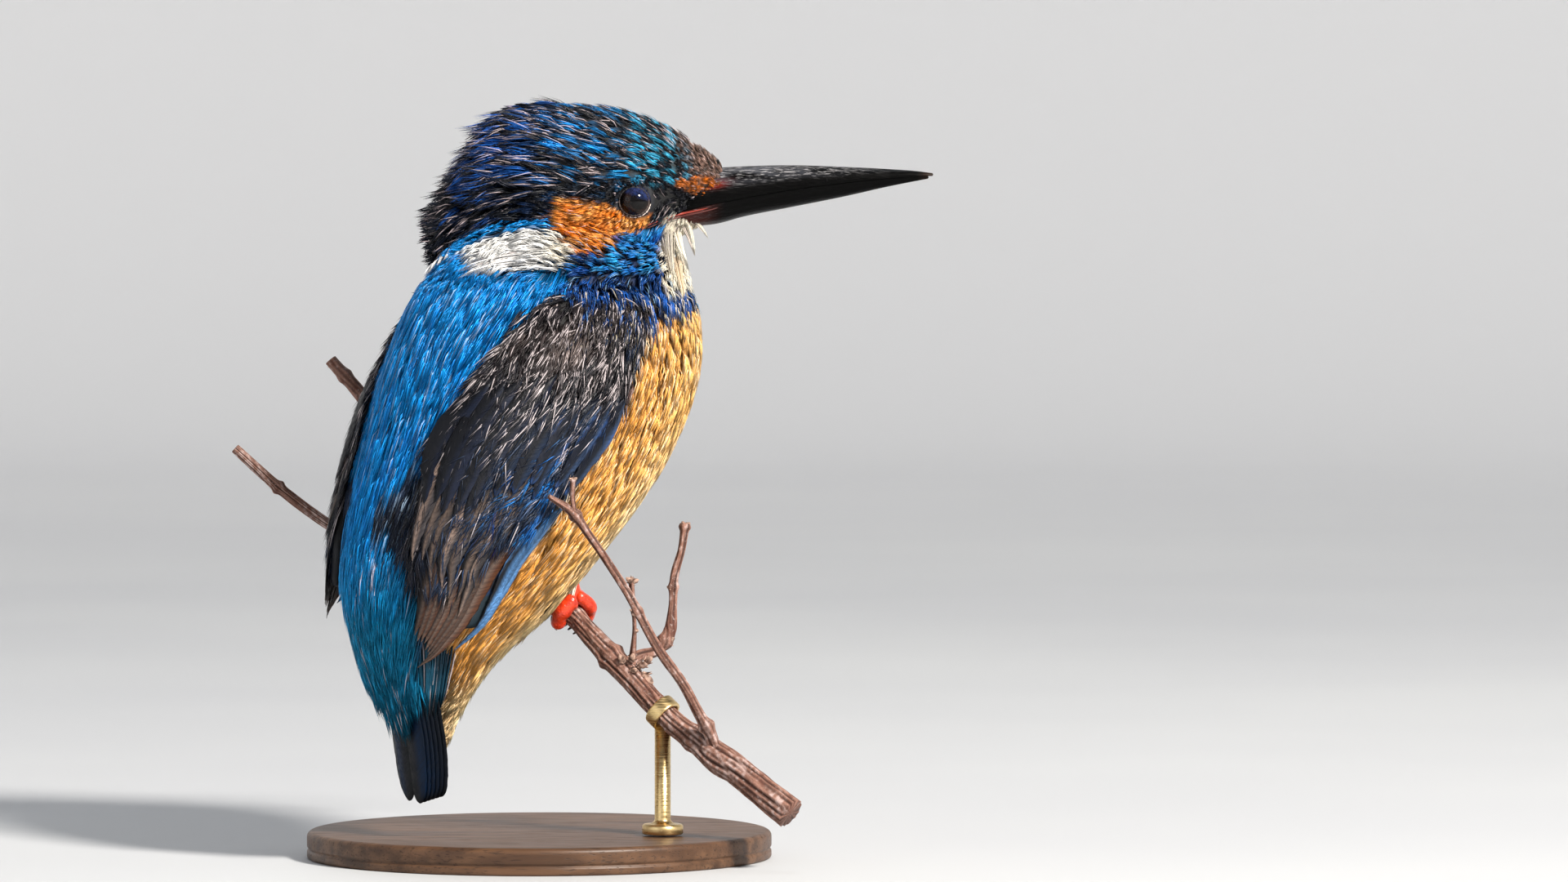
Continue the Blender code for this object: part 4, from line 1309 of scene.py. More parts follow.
def grow_wing(rng, side, sign):
    surface = wing_surface(sign)
    whole = (40.0, 0.0), (99.5, 1.05)

    def small_coverts(here, height, share):
        patchy = ease(-0.2, 0.5, mottle(here, 7.0, 41))
        bare = np.exp(-(((share - 0.77) / 0.10) ** 2) - ((height - 68.0) / 4.0) ** 2)
        clear = share > 0.06 + 0.10 * ease(60, 70, height) * ease(98, 92, height)
        return (ease(58, 67, height) + 0.5 * patchy * (height > 52)) * (1 - 0.85 * bare) * clear

    def swirl(height, share):
        """Down the wing; over the shoulder the locks lean back."""
        shoulder = 26 * ease(84, 97, height) * ease(0.7, 0.2, share)
        return np.radians(shoulder - 6 + 16 * ease(88, 74, height) * ease(0.9, 0.5, share))

    height, share = scatter(rng, surface, *whole, 1400 if sign < 0 else 1100, small_coverts)
    # The wing's pinkish-white glints are painted highlights: more above the middle and most in a long
    # streak band, where the locks also stand up.
    streaks = np.exp(-(((share - 0.62) / 0.14) ** 2) - ((height - 84.0) / 8.0) ** 2)
    strands(
        "coat_wing_" + side, rng, surface, (height, share), swirl, wing_paint, whole, "wing_plumage", 6,
        length=np.interp(height, [52, 62, 74, 86, 98], [9.0, 11.0, 11.0, 9.0, 5.5]), depth=1.0,
        spread=1.7, draw=0.15, lift=0.45 + 0.5 * streaks, stiff=0.15, width=0.27, mark=0.5, fluff=0.4,
        uneven=0.4, sway=0.2, shade=0.25, glint=0.05 + 0.17 * ease(66, 84, height) + 0.18 * streaks,
        tint=tone(244, 230, 232),
    )


def grow_wisps(rng):
    """The crest's spikes, the throat's hanging tufts, the long white lock, the belly's drips and the tail's
    sides."""
    rows = []
    nape = ((-1.5, 133.0), (-5.5, 132.2), (-8.0, 130.6), (-10.6, 128.0), (-12.2, 125.4), (-13.8, 122.4),
            (-15.4, 119.4),
            (-16.6, 116.2), (-17.6, 113.0), (-18.2, 110.0), (-17.8, 107.0), (-17.0, 104.6))
    for k in range(56):
        place = (k + rng.uniform(0, 1)) / 56 * (len(nape) - 1.001)
        x, z = (np.interp(place, np.arange(len(nape)), np.array(nape)[:, n]) for n in (0, 1))
        aside = rng.uniform(-1, 1)
        y = HEAD_ACROSS + aside * (3.0 + 5.0 * ease(0, 6, place))
        x += 1.6 * aside**2
        turn = math.radians(np.interp(place, [0, 3, 6, 11], [168, 176, 205, 238]) + rng.normal(0, 6))
        way = np.array([math.cos(turn), 0.12 * aside, math.sin(turn)])
        size = rng.uniform(1.4, 3.8) * np.interp(place, [0, 2, 10], [0.6, 1.0, 1.1])
        start = np.array([x, y, z]) - way * 3.8
        end = start + way * (size * 0.9 + 2.6)
        bend = (start + end) / 2 + np.array([-0.3, 0, 0.5])
        tint = mix(NIGHT * 0.7, COBALT, 0.4 * (rng.random() < 0.3))
        rows.append((start, bend, end, 18, 0.95, 0.30, tint))
    cream, white = tone(244, 234, 216), tone(240, 238, 236)
    for sign in (-1, 1):
        for start, bend, end, number, half, tint in (
            ((23.4, 2.6, 112.4), (24.2, 2.9, 108.0), (26.4, 2.0, 103.6), 34, 1.3, cream),
            ((25.6, 2.6, 112.6), (27.0, 2.6, 109.4), (27.4, 1.8, 106.2), 26, 1.0, cream),
            ((27.2, 2.6, 112.4), (29.0, 2.4, 111.0), (29.8, 2.0, 109.2), 16, 0.7, cream),
            ((22.6, 3.8, 110.8), (22.8, 3.8, 106.0), (24.2, 3.2, 100.0), 34, 1.3, cream),
            ((24.0, 2.0, 106.0), (25.0, 2.4, 102.0), (25.8, 2.4, 97.0), 26, 1.2, mix(cream, AMBER, 0.35)),
        ):
            rows.append((
                (start[0], HEAD_ACROSS + sign * start[1], start[2]),
                (bend[0], HEAD_ACROSS + sign * bend[1], bend[2]),
                (end[0], HEAD_ACROSS + sign * end[1], end[2]), number, half, 0.15, tint,
            ))
        for drop in (0.0, 0.9, 1.9, 2.8):
            place = body_at(108.2 - drop, math.radians(126 + 2 * drop) * sign, -0.6)
            middle = body_at(108.6 - drop, math.radians(150 + 2 * drop) * sign, 1.8)
            tip = body_at(105.6 - 1.1 * drop, math.radians(176 - 4 * drop) * sign, 1.5)
            rows.append((place, middle, tip, 16, 0.7, 0.2, white))
    for aside, drop in ((0.0, 0.0), (1.1, 0.8), (-1.2, 1.4)):
        start = np.array([5.4 + aside, -6.0, 50.0])
        rows.append((start, start + [-0.2, -1.0, -3.6], start + [-1.2, -0.7, -6.6 + drop], 20,
                     0.8, 0.16, cream))
    # Coverts along each side of the tail's root, between the rump and the underside.
    for sign in (-1, 1):
        for k in range(7):
            top = world(-26.2 - 1.1 * k, sign * 7.9, 42.0 - 0.3 * k)
            middle = world(-27.0 - 0.9 * k, sign * 8.7, 35.5)
            tip = world(-27.4 - 0.6 * k, sign * 6.9, 27.5 - 0.7 * (k % 3))
            rows.append((top, middle, tip, 34, 1.5, 0.34, mix(INK, DEEP_TEAL, 0.35 + 0.09 * k)))
    wisps("coat_wisps", rng, rows)


# ---------------------------------------------------------------- flight feathers


def blade(middle, across, out, width, thick, camber=0.12, notch=0.0, rng=None, around=12):
    """A feather blade along a middle line: a flat oval section, arched by camber, with a raised shaft and
    with edges bitten in by notch where the barbs have parted. Gives points, faces, (along, across, top) of
    each point and its barb's place along the shaft."""
    rings = len(middle)
    turn = np.linspace(0, FULL, around, endpoint=False)[None, :]
    share = np.linspace(0, 1, rings)[:, None]
    x = np.cos(turn) + 0 * share
    bite = np.ones((rings, around))
    if notch:
        bite -= (notch * rng.random((rings, around)) ** 3 * (np.abs(np.cos(turn)) > 0.8)
                 * (0.12 + 0.88 * share**2))
    side = x * width[:, None] * bite
    shaft = np.exp(-((x / 0.16) ** 2)) * (np.sin(turn) > 0.5) * 0.12 * (1 - share)
    rise = np.sin(turn) * thick * (1 - 0.7 * share) - camber * width[:, None] * x**2 + shaft
    form = closed(middle[:, None] + across[:, None] * side[..., None] + out[:, None] * rise[..., None])
    length = np.concatenate([[0], np.cumsum(np.linalg.norm(np.diff(middle, axis=0), axis=1))])
    flat = stacked(share, side / max(width.max(), 0.1), np.sin(turn) + 0 * share)
    flat = np.concatenate([flat.reshape(-1, 3), [[0, 0, 0]], [[1, 0, 0]]])
    barb = np.repeat(length, around) + np.abs(side).ravel() * 0.9
    barb = np.concatenate([barb, [0.0, length[-1]]])
    return *form, flat, barb


def blade_piece(name, blades):
    """Many blades as one piece: points, faces, colours and barbs, each blade unwrapped in its own cell."""
    columns = math.ceil(math.sqrt(len(blades) / 4))
    rows = math.ceil(len(blades) / columns)
    uv = []
    for number, (_, _, _, flat, _, _) in enumerate(blades):
        cell_u, cell_v = number % columns, number // columns
        u = (cell_u + 0.5 + 0.22 * flat[:, 1] + 0.25 * np.sign(flat[:, 2])) / columns
        uv.append(np.stack([u, (cell_v + 0.05 + 0.9 * flat[:, 0]) / rows], -1))
    colours = np.concatenate([b[5] for b in blades])
    made = mesh_piece(name, *gather([b[:3] for b in blades]), WEB, colours, np.concatenate(uv))
    layer = made.data.attributes.new("barb", "FLOAT", "POINT")
    layer.data.foreach_set("value", np.concatenate([b[4] for b in blades]).astype(np.float32))
    finish(made, "wing_plumage")


def lay_feather(surface, root, tip, rise, width, paint, rng, bow=0.0, blunt=0.5, notch=0.1,
                rings=26, full=3.2):
    """A flight feather on a surface: its shaft runs from root to tip, both (first, second), bowed sideways,
    and its web widens fast and closes to a tip the rounder the blunter."""
    share = 1 - (1 - np.linspace(0, 1, rings)) ** 1.5
    first = root[0] + (tip[0] - root[0]) * share
    second = root[1] + (tip[1] - root[1]) * share + bow * np.sin(np.pi * share)
    lifted = rise[0] + (rise[1] - rise[0]) * share
    middle, _, _, out, _, _ = basis(surface, first, second, lifted)
    along = unit(np.gradient(middle, axis=0))
    across = unit(np.cross(along, out))
    profile = ease(-0.02, 0.35, share) ** 0.6 * np.clip(1 - share**full, 0, 1) ** blunt
    half = width / 2 * np.maximum(profile, 0.04)
    made = blade(middle, across, out, half, 0.11, notch=notch, rng=rng)
    colour = paint(made[3][:, 0], made[3][:, 1], made[3][:, 2])
    return (*made, np.clip(colour, 0, 1))


def web_paint(inner, outer, edge, shaft, shine=0.3, tip=None, value=1.0):
    """Colours of a web by its share along and place across: outer web, inner web, pale edges and the
    shaft."""

    def paint(share, across, top):
        colour = mix(outer, inner, ease(-0.25, 0.25, across))
        colour = mix(colour, edge, ease(0.72, 0.95, np.abs(across)) * 0.8)
        if tip is not None:
            colour = mix(colour, tip, ease(0.80, 0.97, share))
        colour = mix(colour, shaft, np.exp(-((across / 0.09) ** 2)) * (top > 0) * 0.85) * value
        shown = np.where(across < 0, shine, 0.1)
        return np.concatenate([colour, shown[:, None]], -1)

    return paint


def wing_feathers(rng, side, sign):
    """Primaries, their coverts, secondaries, tertials and greater coverts, each row over the one before
    it."""
    surface = wing_surface(sign)
    if sign > 0:
        def web(*given, **named):
            drawn = web_paint(*given, **named)
            return lambda share, across, top: drawn(share, -across, top)
    else:
        web = web_paint
    blades = []

    def add(root, tip, rise, width, paint, **named):
        blades.append(lay_feather(surface, root, tip, rise, width, paint, rng, **named))

    brown, dark, pale = tone(32, 26, 24), tone(14, 15, 19), tone(150, 128, 116)

    def jog(amount):
        return amount * rng.uniform(-1, 1)

    for k in range(9):
        s = k / 8
        add(
            (64 - 2 * s, 0.10 + 0.50 * s), (36.2 + 4.5 * s + jog(0.8), 0.40 + 0.5 * s),
            (-0.9 + 0.5 * s, -0.3 + 0.35 * s), 3.9,
            web(
                brown * 0.8, mix(dark, RUST, 0.15), RUST * (0.3 + jog(0.2)), pale * 0.35, shine=0.05,
                tip=tone(92, 66, 52) * (1 + jog(0.4)), value=0.8 + jog(0.3),
            ),
            bow=0.04 + jog(0.03), blunt=0.9, notch=0.7,
        )
    strip = tone(92, 142, 198)
    for k in range(4):
        s = k / 3
        add(
            (63.5 - 1.5 * s, 0.03 + 0.05 * s), (38.6 + 6.0 * s, 0.10 + 0.04 * s),
            (-0.25, 0.25 + 0.1 * s), 3.4,
            web(dark, strip, strip, strip * 0.4, shine=0.25, value=0.75 + 0.12 * k),
            bow=-0.01, blunt=0.8, notch=0.6,
        )
    for k in range(7):
        s = k / 6
        add(
            (74 - s, 0.30 + 0.62 * s), (46.5 + 8 * s + jog(2.2), 0.42 + 0.52 * s + jog(0.03)),
            (-0.3 + 0.4 * s, 0.1 + 0.4 * s), 4.6 + jog(1.0),
            web(
                tone(18, 17, 20), tone(58, 54, 55), tone(30, 26, 25), pale * (0.6 + jog(0.5)), shine=0.05,
                tip=tone(104, 92, 88) * (0.7 + jog(0.4)), value=0.8 + jog(0.45),
            ),
            bow=0.03 + jog(0.05), blunt=1.1, notch=0.8,
        )
    for k in range(5):
        s = k / 4
        add(
            (86 - s, 0.62 + 0.33 * s), (60 + 5 * s + jog(1.5), 0.66 + 0.30 * s),
            (0.1 + 0.2 * s, 0.5 + 0.3 * s), 4.8 + jog(0.6),
            web(dark, tone(18, 24, 40), tone(14, 17, 26), dark, shine=0.1, value=1 + jog(0.3)),
            bow=0.02 + jog(0.03), blunt=0.8, notch=0.5,
        )
    for k in range(10):
        s = k / 9
        add(
            (82 - 2 * s, 0.14 + 0.72 * s),
            (64.5 + 2.0 * np.sin(3 * s) + jog(1.6), 0.12 + 0.76 * s + jog(0.02)),
            (0.0, 0.45), 4.2 + jog(0.7),
            web(
                NIGHT * 0.8, mix(NIGHT, SLATE, 0.38 * (1 - s)), mix(COBALT, SLATE, 0.6) * (1 - 0.7 * s),
                dark, shine=0.2, tip=mix(SLATE, COBALT, 0.4) * (0.8 - 0.5 * s), value=1 + jog(0.4),
            ),
            bow=0.01 + jog(0.05), blunt=0.7, notch=0.8,
        )
    blade_piece("vanes_wing_" + side, blades)


def tail_at(height, aside, proud):
    """The tail's plane by height and millimetres to the left of its middle, facing back; the sides fall
    away."""
    row = rows_at(TAIL, height)
    back = row[..., 1] - proud + 0.012 * aside**2
    return world(back, aside, height)


def tail_feathers(rng):
    """Twelve tail feathers: the middle pair on top, each pair outward lower and a little shorter."""
    blades = []
    dark, blue = tone(3, 8, 14), tone(2, 30, 58)
    for rank in range(5, -1, -1):
        for sign in (-1, 1):
            root = (46.0, sign * (0.5 + 0.62 * rank))
            late = 0.9 * (rank - 3) * (sign > 0) if rank > 3 else 0.0
            tip = (10.9 + 0.25 * rank + 0.3 * (sign > 0) + 2.4 * late, sign * (1.5 + 0.72 * rank))
            outer = mix(blue, dark, 0.16 * rank)
            base = web_paint(dark, outer, dark, INK, shine=0.35, value=1.0 - 0.08 * rank, tip=dark * 0.6)
            paint = base if sign < 0 else (lambda a, b, c, base=base: base(a, -b, c))
            rise = (2.2 - 0.36 * rank, 1.1 - 0.32 * rank)
            blades.append(lay_feather(
                tail_at, root, tip, rise, 5.6, paint, rng, bow=0.5 * sign, blunt=0.45, notch=0.11,
                rings=40, full=9.0
            ))
    blade_piece("vanes_tail", blades)


# ---------------------------------------------------------------- skin


def closed_loft(surface, firsts, seconds, inset):
    """A closed skin over a surface's rings."""
    first, second = np.meshgrid(firsts, seconds, indexing="ij")
    return closed(surface(first, second, -inset(first, second)))


def wing_shell(sign):
    """The wing's flesh: an outer arc set in by the coverts' depth and an inner arc on the bed."""
    surface = wing_surface(sign)
    heights = np.linspace(42, 99.0, 40)
    share = np.linspace(0.03, 0.97, 24)
    high, across = np.meshgrid(heights, share, indexing="ij")
    outer = surface(high, across, -0.9)
    row = rows_at(WING, heights)
    thick = WING_EDGE + np.maximum(0, row[:, 3] - WING_EDGE)[:, None] * np.sqrt(4 * across * (1 - across))
    inner = surface(high, across, -thick - 1.2)
    points, quads, triangles = closed(np.concatenate([outer, inner[:, ::-1]], axis=1))
    # Its faces look inward; the remeshing turns them out with the rest.
    return points, quads[:, ::-1], triangles[:, ::-1]


def remeshed(parts):
    """The parts' common outer surface as one mesh of small even cells: points, quads and triangles."""
    lump = mesh_piece("lump", *gather(parts), FEATHER)
    step = lump.modifiers.new("voxels", "REMESH")
    step.mode = "VOXEL"
    step.voxel_size = SKIN_CELL * MM
    soften = lump.modifiers.new("smooth", "SMOOTH")
    soften.factor = 0.5
    soften.iterations = 6
    graph = bpy.context.evaluated_depsgraph_get()
    mesh = lump.evaluated_get(graph).to_mesh()

    def read(rows, title, kind, width=1):
        """One value, or several, of every row of a part of the mesh."""
        values = np.empty(len(rows) * width, kind)
        rows.foreach_get(title, values)
        return values

    co = read(mesh.vertices, "co", np.float32, 3)
    loops = read(mesh.loops, "vertex_index", np.int32)
    starts = read(mesh.polygons, "loop_start", np.int32)
    totals = np.diff(np.append(starts, len(loops)))
    four, three = starts[totals == 4], starts[totals == 3]
    quads = loops[four[:, None] + np.arange(4)]
    triangles = loops[three[:, None] + np.arange(3)]
    bpy.data.objects.remove(lump)
    return co.reshape(-1, 3).astype(float) / MM, quads, triangles


def skin_paint(points):
    """The coat's own markings on the skin beneath it, darkened as painted shade so that the skin seen
    between the strands reads as shade, except where they are pale or warm."""
    x, y, z = points[:, 0], points[:, 1], points[:, 2]
    forward = x * math.cos(HEADING) + y * math.sin(HEADING)
    left = -x * math.sin(HEADING) + y * math.cos(HEADING)
    row = rows_at(BACK, z)
    turn = np.arctan2(left / np.maximum(row[:, 3], 1), (forward - row[:, 1]) / np.maximum(row[:, 2], 1))
    body, _ = body_paint(points, z, turn)
    wing = rows_at(WING, np.clip(z, 36, 100))
    share = (np.degrees(np.abs(turn)) - wing[:, 1]) / (wing[:, 2] - wing[:, 1])
    winged, _ = wing_paint(points, z, share)
    body = mix(body, winged, ((share > 0) & (share < 1) & (z > 40) & (z < 99)).astype(float))
    oval_row = rows_at(HEAD, x)
    around = np.arctan2((y - HEAD_ACROSS) / np.maximum(oval_row[:, 3], 1),
                        (z - oval_row[:, 1]) / np.maximum(oval_row[:, 2], 1))
    head, _ = head_paint(points, x, around)
    within = np.hypot((y - HEAD_ACROSS) / (oval_row[:, 3] + 1),
                      (z - oval_row[:, 1]) / (oval_row[:, 2] + 1)) < 1.05
    on_head = (within & (z > 103.6) & (x > -20) & (x < 34)).astype(float)
    colour = mix(body, head, on_head)
    behind = (forward < row[:, 1] + 2.0) & (z < 48) & (forward < -25.5)
    colour = mix(colour, DEEP_TEAL, behind.astype(float))
    # Painted shade: the skin is darkened to about a seventh of its colour, less where that colour is warm
    # or pale.
    return colour * (0.14 + 0.76 * ease(0.12, 0.5, colour[:, 0]))[:, None]


def lid(sign, low, high, radius, tube, tilt):
    """One eyelid: a thin bead round the eyeball from one angle to another, leaning back with the face."""
    turn = np.radians(np.linspace(low, high, 90))
    ring_along = EYE_ALONG + radius * np.cos(turn)
    ring_height = EYE_HEIGHT + radius * EYE_SQUASH * np.sin(turn)
    out = EYE_OUT + np.sqrt(np.maximum(EYE_RADIUS**2 - radius**2, 0)) + 0.05 - tilt * np.cos(turn)
    path = np.stack([ring_along, HEAD_ACROSS + sign * out, ring_height], -1)
    taper = tube * np.maximum(np.sin(np.linspace(0.08, math.pi - 0.08, 90)) ** 0.4, 0.35)
    taper = taper * (1 + 0.22 * np.sin(turn * 24) + 0.12 * np.sin(turn * 41))
    return sweep(path, taper, taper, (0.15, sign, 0.05), around=10)


def evenly(route, step=TWIG_STEP):
    """Points a step apart along a smooth curve through a route of (x, y, z, radius)."""
    rows = np.array(route, float)
    key = np.concatenate([[0], np.cumsum(np.linalg.norm(np.diff(rows[:, :3], axis=0), axis=1))])
    count = max(3, int(key[-1] / step) + 1)
    return rows_at(np.column_stack([key, rows]), np.linspace(0, key[-1], count))[:, 1:]


def grip(place, turn, out):
    """Points clear of the twig by out, at turn degrees round it: 0 is to the bird's front and 90 is up."""
    line = evenly(PERCH)
    key = TWIG_STEP * np.arange(len(line))
    middle = np.stack([np.interp(place, key, line[:, k]) for k in range(3)], -1)
    ahead_of = np.stack([np.interp(place + 0.6, key, line[:, k]) for k in range(3)], -1)
    along = unit(ahead_of - middle)
    radius = np.interp(place, key, line[:, 3])
    front = np.array([math.cos(HEADING), math.sin(HEADING), 0.0])
    ahead = unit(front - along * (along @ front)[..., None])
    up = np.cross(ahead, along)
    up = up * np.sign(up[..., 2:])
    turn = np.radians(turn)
    reach = (radius + out)[..., None]
    return middle + reach * (ahead * np.cos(turn)[..., None] + up * np.sin(turn)[..., None])


def foot_place(side):
    line = evenly(PERCH)
    return TWIG_STEP * int(np.argmin(np.abs(line[:, 0] - FEET[side])))


def toe_list():
    """(slide along the twig, start, end, sign) of three front toes and the hind toe."""
    toes = [(k * TOE_SPACING, 97.0 + 3 * k, 95.0 - FRONT_TOE_TURN, -1) for k in (-1, 0.04, 1)]
    return toes + [(0.0, 85.0, 85.0 + HIND_TOE_TURN, 1)]


def toe(place, slide, start, end, plump=1.0):
    """A plump toe round the twig: swollen pads between its joints and broad scutes as shallow steps on
    top."""
    t = np.linspace(0, 1, 70)
    spread_out = slide * np.minimum(1.0, 0.3 + 1.4 * t)
    radius = TOE_RADIUS * plump * (1 - 0.28 * t)
    pad = 1 + 0.07 * np.cos(2.2 * FULL * t)
    close = np.sqrt(np.clip(1 - ((t - 0.5) / 0.5) ** 8, 0.02, 1))
    path = grip(place + spread_out, start + (end - start) * t, GAP + radius)
    inward = grip(place + spread_out, start + (end - start) * t, 0 * t) - path

    def scutes(turn, ring):
        step = (ring * 0.27) % 1.0
        return 1 + 0.02 * (step - 0.5) * (np.sin(turn) > 0.1)

    return sweep(path, radius * pad * close, radius * pad * close, -inward, around=20, bend=scutes)


def feet():
    parts = []
    for side in FEET:
        place = foot_place(side)
        sole = grip(np.array([place]), np.array([90.0]), np.array([GAP + TOE_RADIUS]))[0]
        ankle = sole + np.array([-1.2, -1.0, TARSUS_LENGTH])
        share = np.linspace(-0.2, 1.2, 30)[:, None]
        path = sole + (ankle - sole) * share
        radius = TARSUS_RADIUS * (1.0 + 0.18 * np.cos(share[:, 0] * 2.4))
        parts.append(sweep(path, radius, radius, (1, 0, 0), around=18))
        parts += [toe(place, slide, start, end) for slide, start, end, _ in toe_list()]
        # The folded sole bulges on the near side of the twig.
        for slide, start, end in ((-1.5, 110.0, 215.0), (1.2, 120.0, 190.0)):
            parts.append(toe(place + slide, 0.0, start, end, 1.3))
    return parts


def skin():
    around = np.linspace(0, FULL, 96, endpoint=False)
    trunk = closed_loft(
        body_at, np.linspace(19, 115.2, 114), around,
        lambda h, t: np.minimum(body_depth(h), 0.08 * (h - 12))
    )
    back = closed_loft(back_oval, np.linspace(30, 60, 50), around,
                       lambda h, t: np.interp(h, [30, 38, 60], [2.6, 2.0, 2.2]))
    head = closed_loft(
        head_skin_at, np.linspace(-19.5, 32.4, 80), around,
        lambda a, t: np.minimum(head_depth(a, t), 0.5 * (a + 21))
    )
    points, quads, triangles = remeshed([trunk, back, head, wing_shell(1), wing_shell(-1)])
    colours = skin_paint(points)
    bare = np.zeros(len(points))

    # Round each eye the skin swells into the lids' root and sinks behind the ball.
    for sign in (-1, 1):
        flat = np.hypot(points[:, 0] - EYE_ALONG, (points[:, 2] - EYE_HEIGHT) / EYE_SQUASH)
        near = ((np.sign(points[:, 1] - HEAD_ACROSS) == sign) & (flat < 5)
                & (np.abs(points[:, 1] - HEAD_ACROSS) > 5))
        target = HEAD_ACROSS + sign * (EYE_OUT + 1.55)
        swell = (np.exp(-(((flat - 3.0) / 0.9) ** 2)) * near
                 * ease(EYE_HEIGHT - 3.9, EYE_HEIGHT - 2.4, points[:, 2]))
        points[:, 1] += (target - points[:, 1]) * swell * 0.8
        points[:, 1] -= sign * 2.2 * ease(2.6, 1.6, flat) * near
        colours = mix(colours, INK * 1.5, ease(3.8, 3.0, flat) * near)
    fine, tints = [], []
    for sign in (-1, 1):
        for low, high, radius, tube, tint in (
            (8, 176, 2.60, 0.22, tone(26, 22, 24)),
            (172, 368, 2.60, 0.20, tone(70, 58, 54)),
            (196, 350, 2.90, 0.18, tone(222, 204, 194)),
            (110, 200, 2.92, 0.10, tone(168, 146, 136)),
        ):
            fine.append(lid(sign, low, high, radius, tube, 0.06))
            tints.append((tint, 0.0))
        # The gape's fleshy line, from under the cheek to where the mandibles leave the feathers.
        t = np.linspace(0, 1, 40)
        for drop, radius, tint in ((0.0, 0.20, tone(150, 48, 32)), (-0.48, 0.16, tone(84, 30, 24))):
            along = 19.2 + 12.6 * t
            height = 111.55 + drop + 3.9 * t + 0.25 * np.sin(5 * t)
            row = rows_at(HEAD, along)
            fall = np.sqrt(np.clip(1 - ((height - row[:, 1]) / row[:, 2]) ** 2, 0.05, 1))
            jaw = rows_at(BILL_LOWER, np.maximum(along, 22.0))[:, 3]
            reach = np.maximum(row[:, 3] * fall - 0.35, jaw * ease(21, 25, along) - 0.05)
            path = np.stack([along, HEAD_ACROSS + sign * reach, height], -1)
            size = radius * np.sin(np.clip(t * 0.93 + 0.05, 0, 1) * math.pi) ** 0.5
            fine.append(sweep(path, size, size * 0.8, (0, sign, 0), around=10))
            tints.append((tint, 0.25))
    toes = feet()
    fine += toes
    tints += [(FLESH, 1.0)] * len(toes)
    whole = gather([(points, quads, triangles)] + fine)
    for part, (tint, scaly) in zip(fine, tints):
        colours = np.concatenate([colours, np.tile(tint, (len(part[0]), 1))])
        bare = np.concatenate([bare, np.full(len(part[0]), scaly)])
    made = mesh_piece("skin", *whole, build_skin_finish(), np.column_stack([np.clip(colours, 0, 1), bare]))
    finish(made, "plumage", "trunk", "neck", "head", "tail", "wing_left", "wing_right",
           "leg_left", "leg_right")


# ---------------------------------------------------------------- eyes, bill and claws


def eyes():
    material = build_eye_finish()
    angles = np.linspace(0.02, math.pi - 0.02, 64), np.linspace(0, FULL, 96, endpoint=False)
    polar, turn = np.meshgrid(*angles, indexing="ij")
    angle = np.concatenate([polar.ravel(), [0.0, math.pi]])
    for side, sign in (("left", 1), ("right", -1)):
        centre = np.array([EYE_ALONG, HEAD_ACROSS + sign * EYE_OUT, EYE_HEIGHT])
        axis = unit(np.array([0.30, sign * 0.95, 0.04]))
        one = unit(np.cross(axis, [0, 0, 1]))
        two = np.cross(one, axis)
        ring = np.sin(polar)[..., None] * (one * np.cos(turn)[..., None] + two * np.sin(turn)[..., None])
        points = centre + EYE_RADIUS * (axis * np.cos(polar)[..., None] + ring)
        ends = [centre + axis * EYE_RADIUS], [centre - axis * EYE_RADIUS]
        whole = outward(np.concatenate([points.reshape(-1, 3), *ends]), *tube_faces(*polar.shape))
        x, _, z = whole[0].T
        iris, pupil = tone(34, 20, 14), tone(3, 2, 3)
        colour = mix(pupil, iris, ease(0.52, 0.58, angle))
        colour = mix(colour, tone(12, 8, 8), ease(0.80, 0.98, angle))
        # Painted reflection: a dull blue over the upper front of the iris and pupil stands for the sky
        # mirrored in the eye.
        painted_sky_reflection = ease(0.6, 1.6, (z - EYE_HEIGHT) + 0.35 * (x - EYE_ALONG)) * ease(1.1, 0.9, angle)
        colour = mix(colour, tone(40, 58, 108), 0.55 * painted_sky_reflection)
        made = mesh_piece("eyeball_" + side, *whole, material,
                          np.column_stack([colour, np.zeros(len(colour))]))
        finish(made, "eye", "eye_" + side)


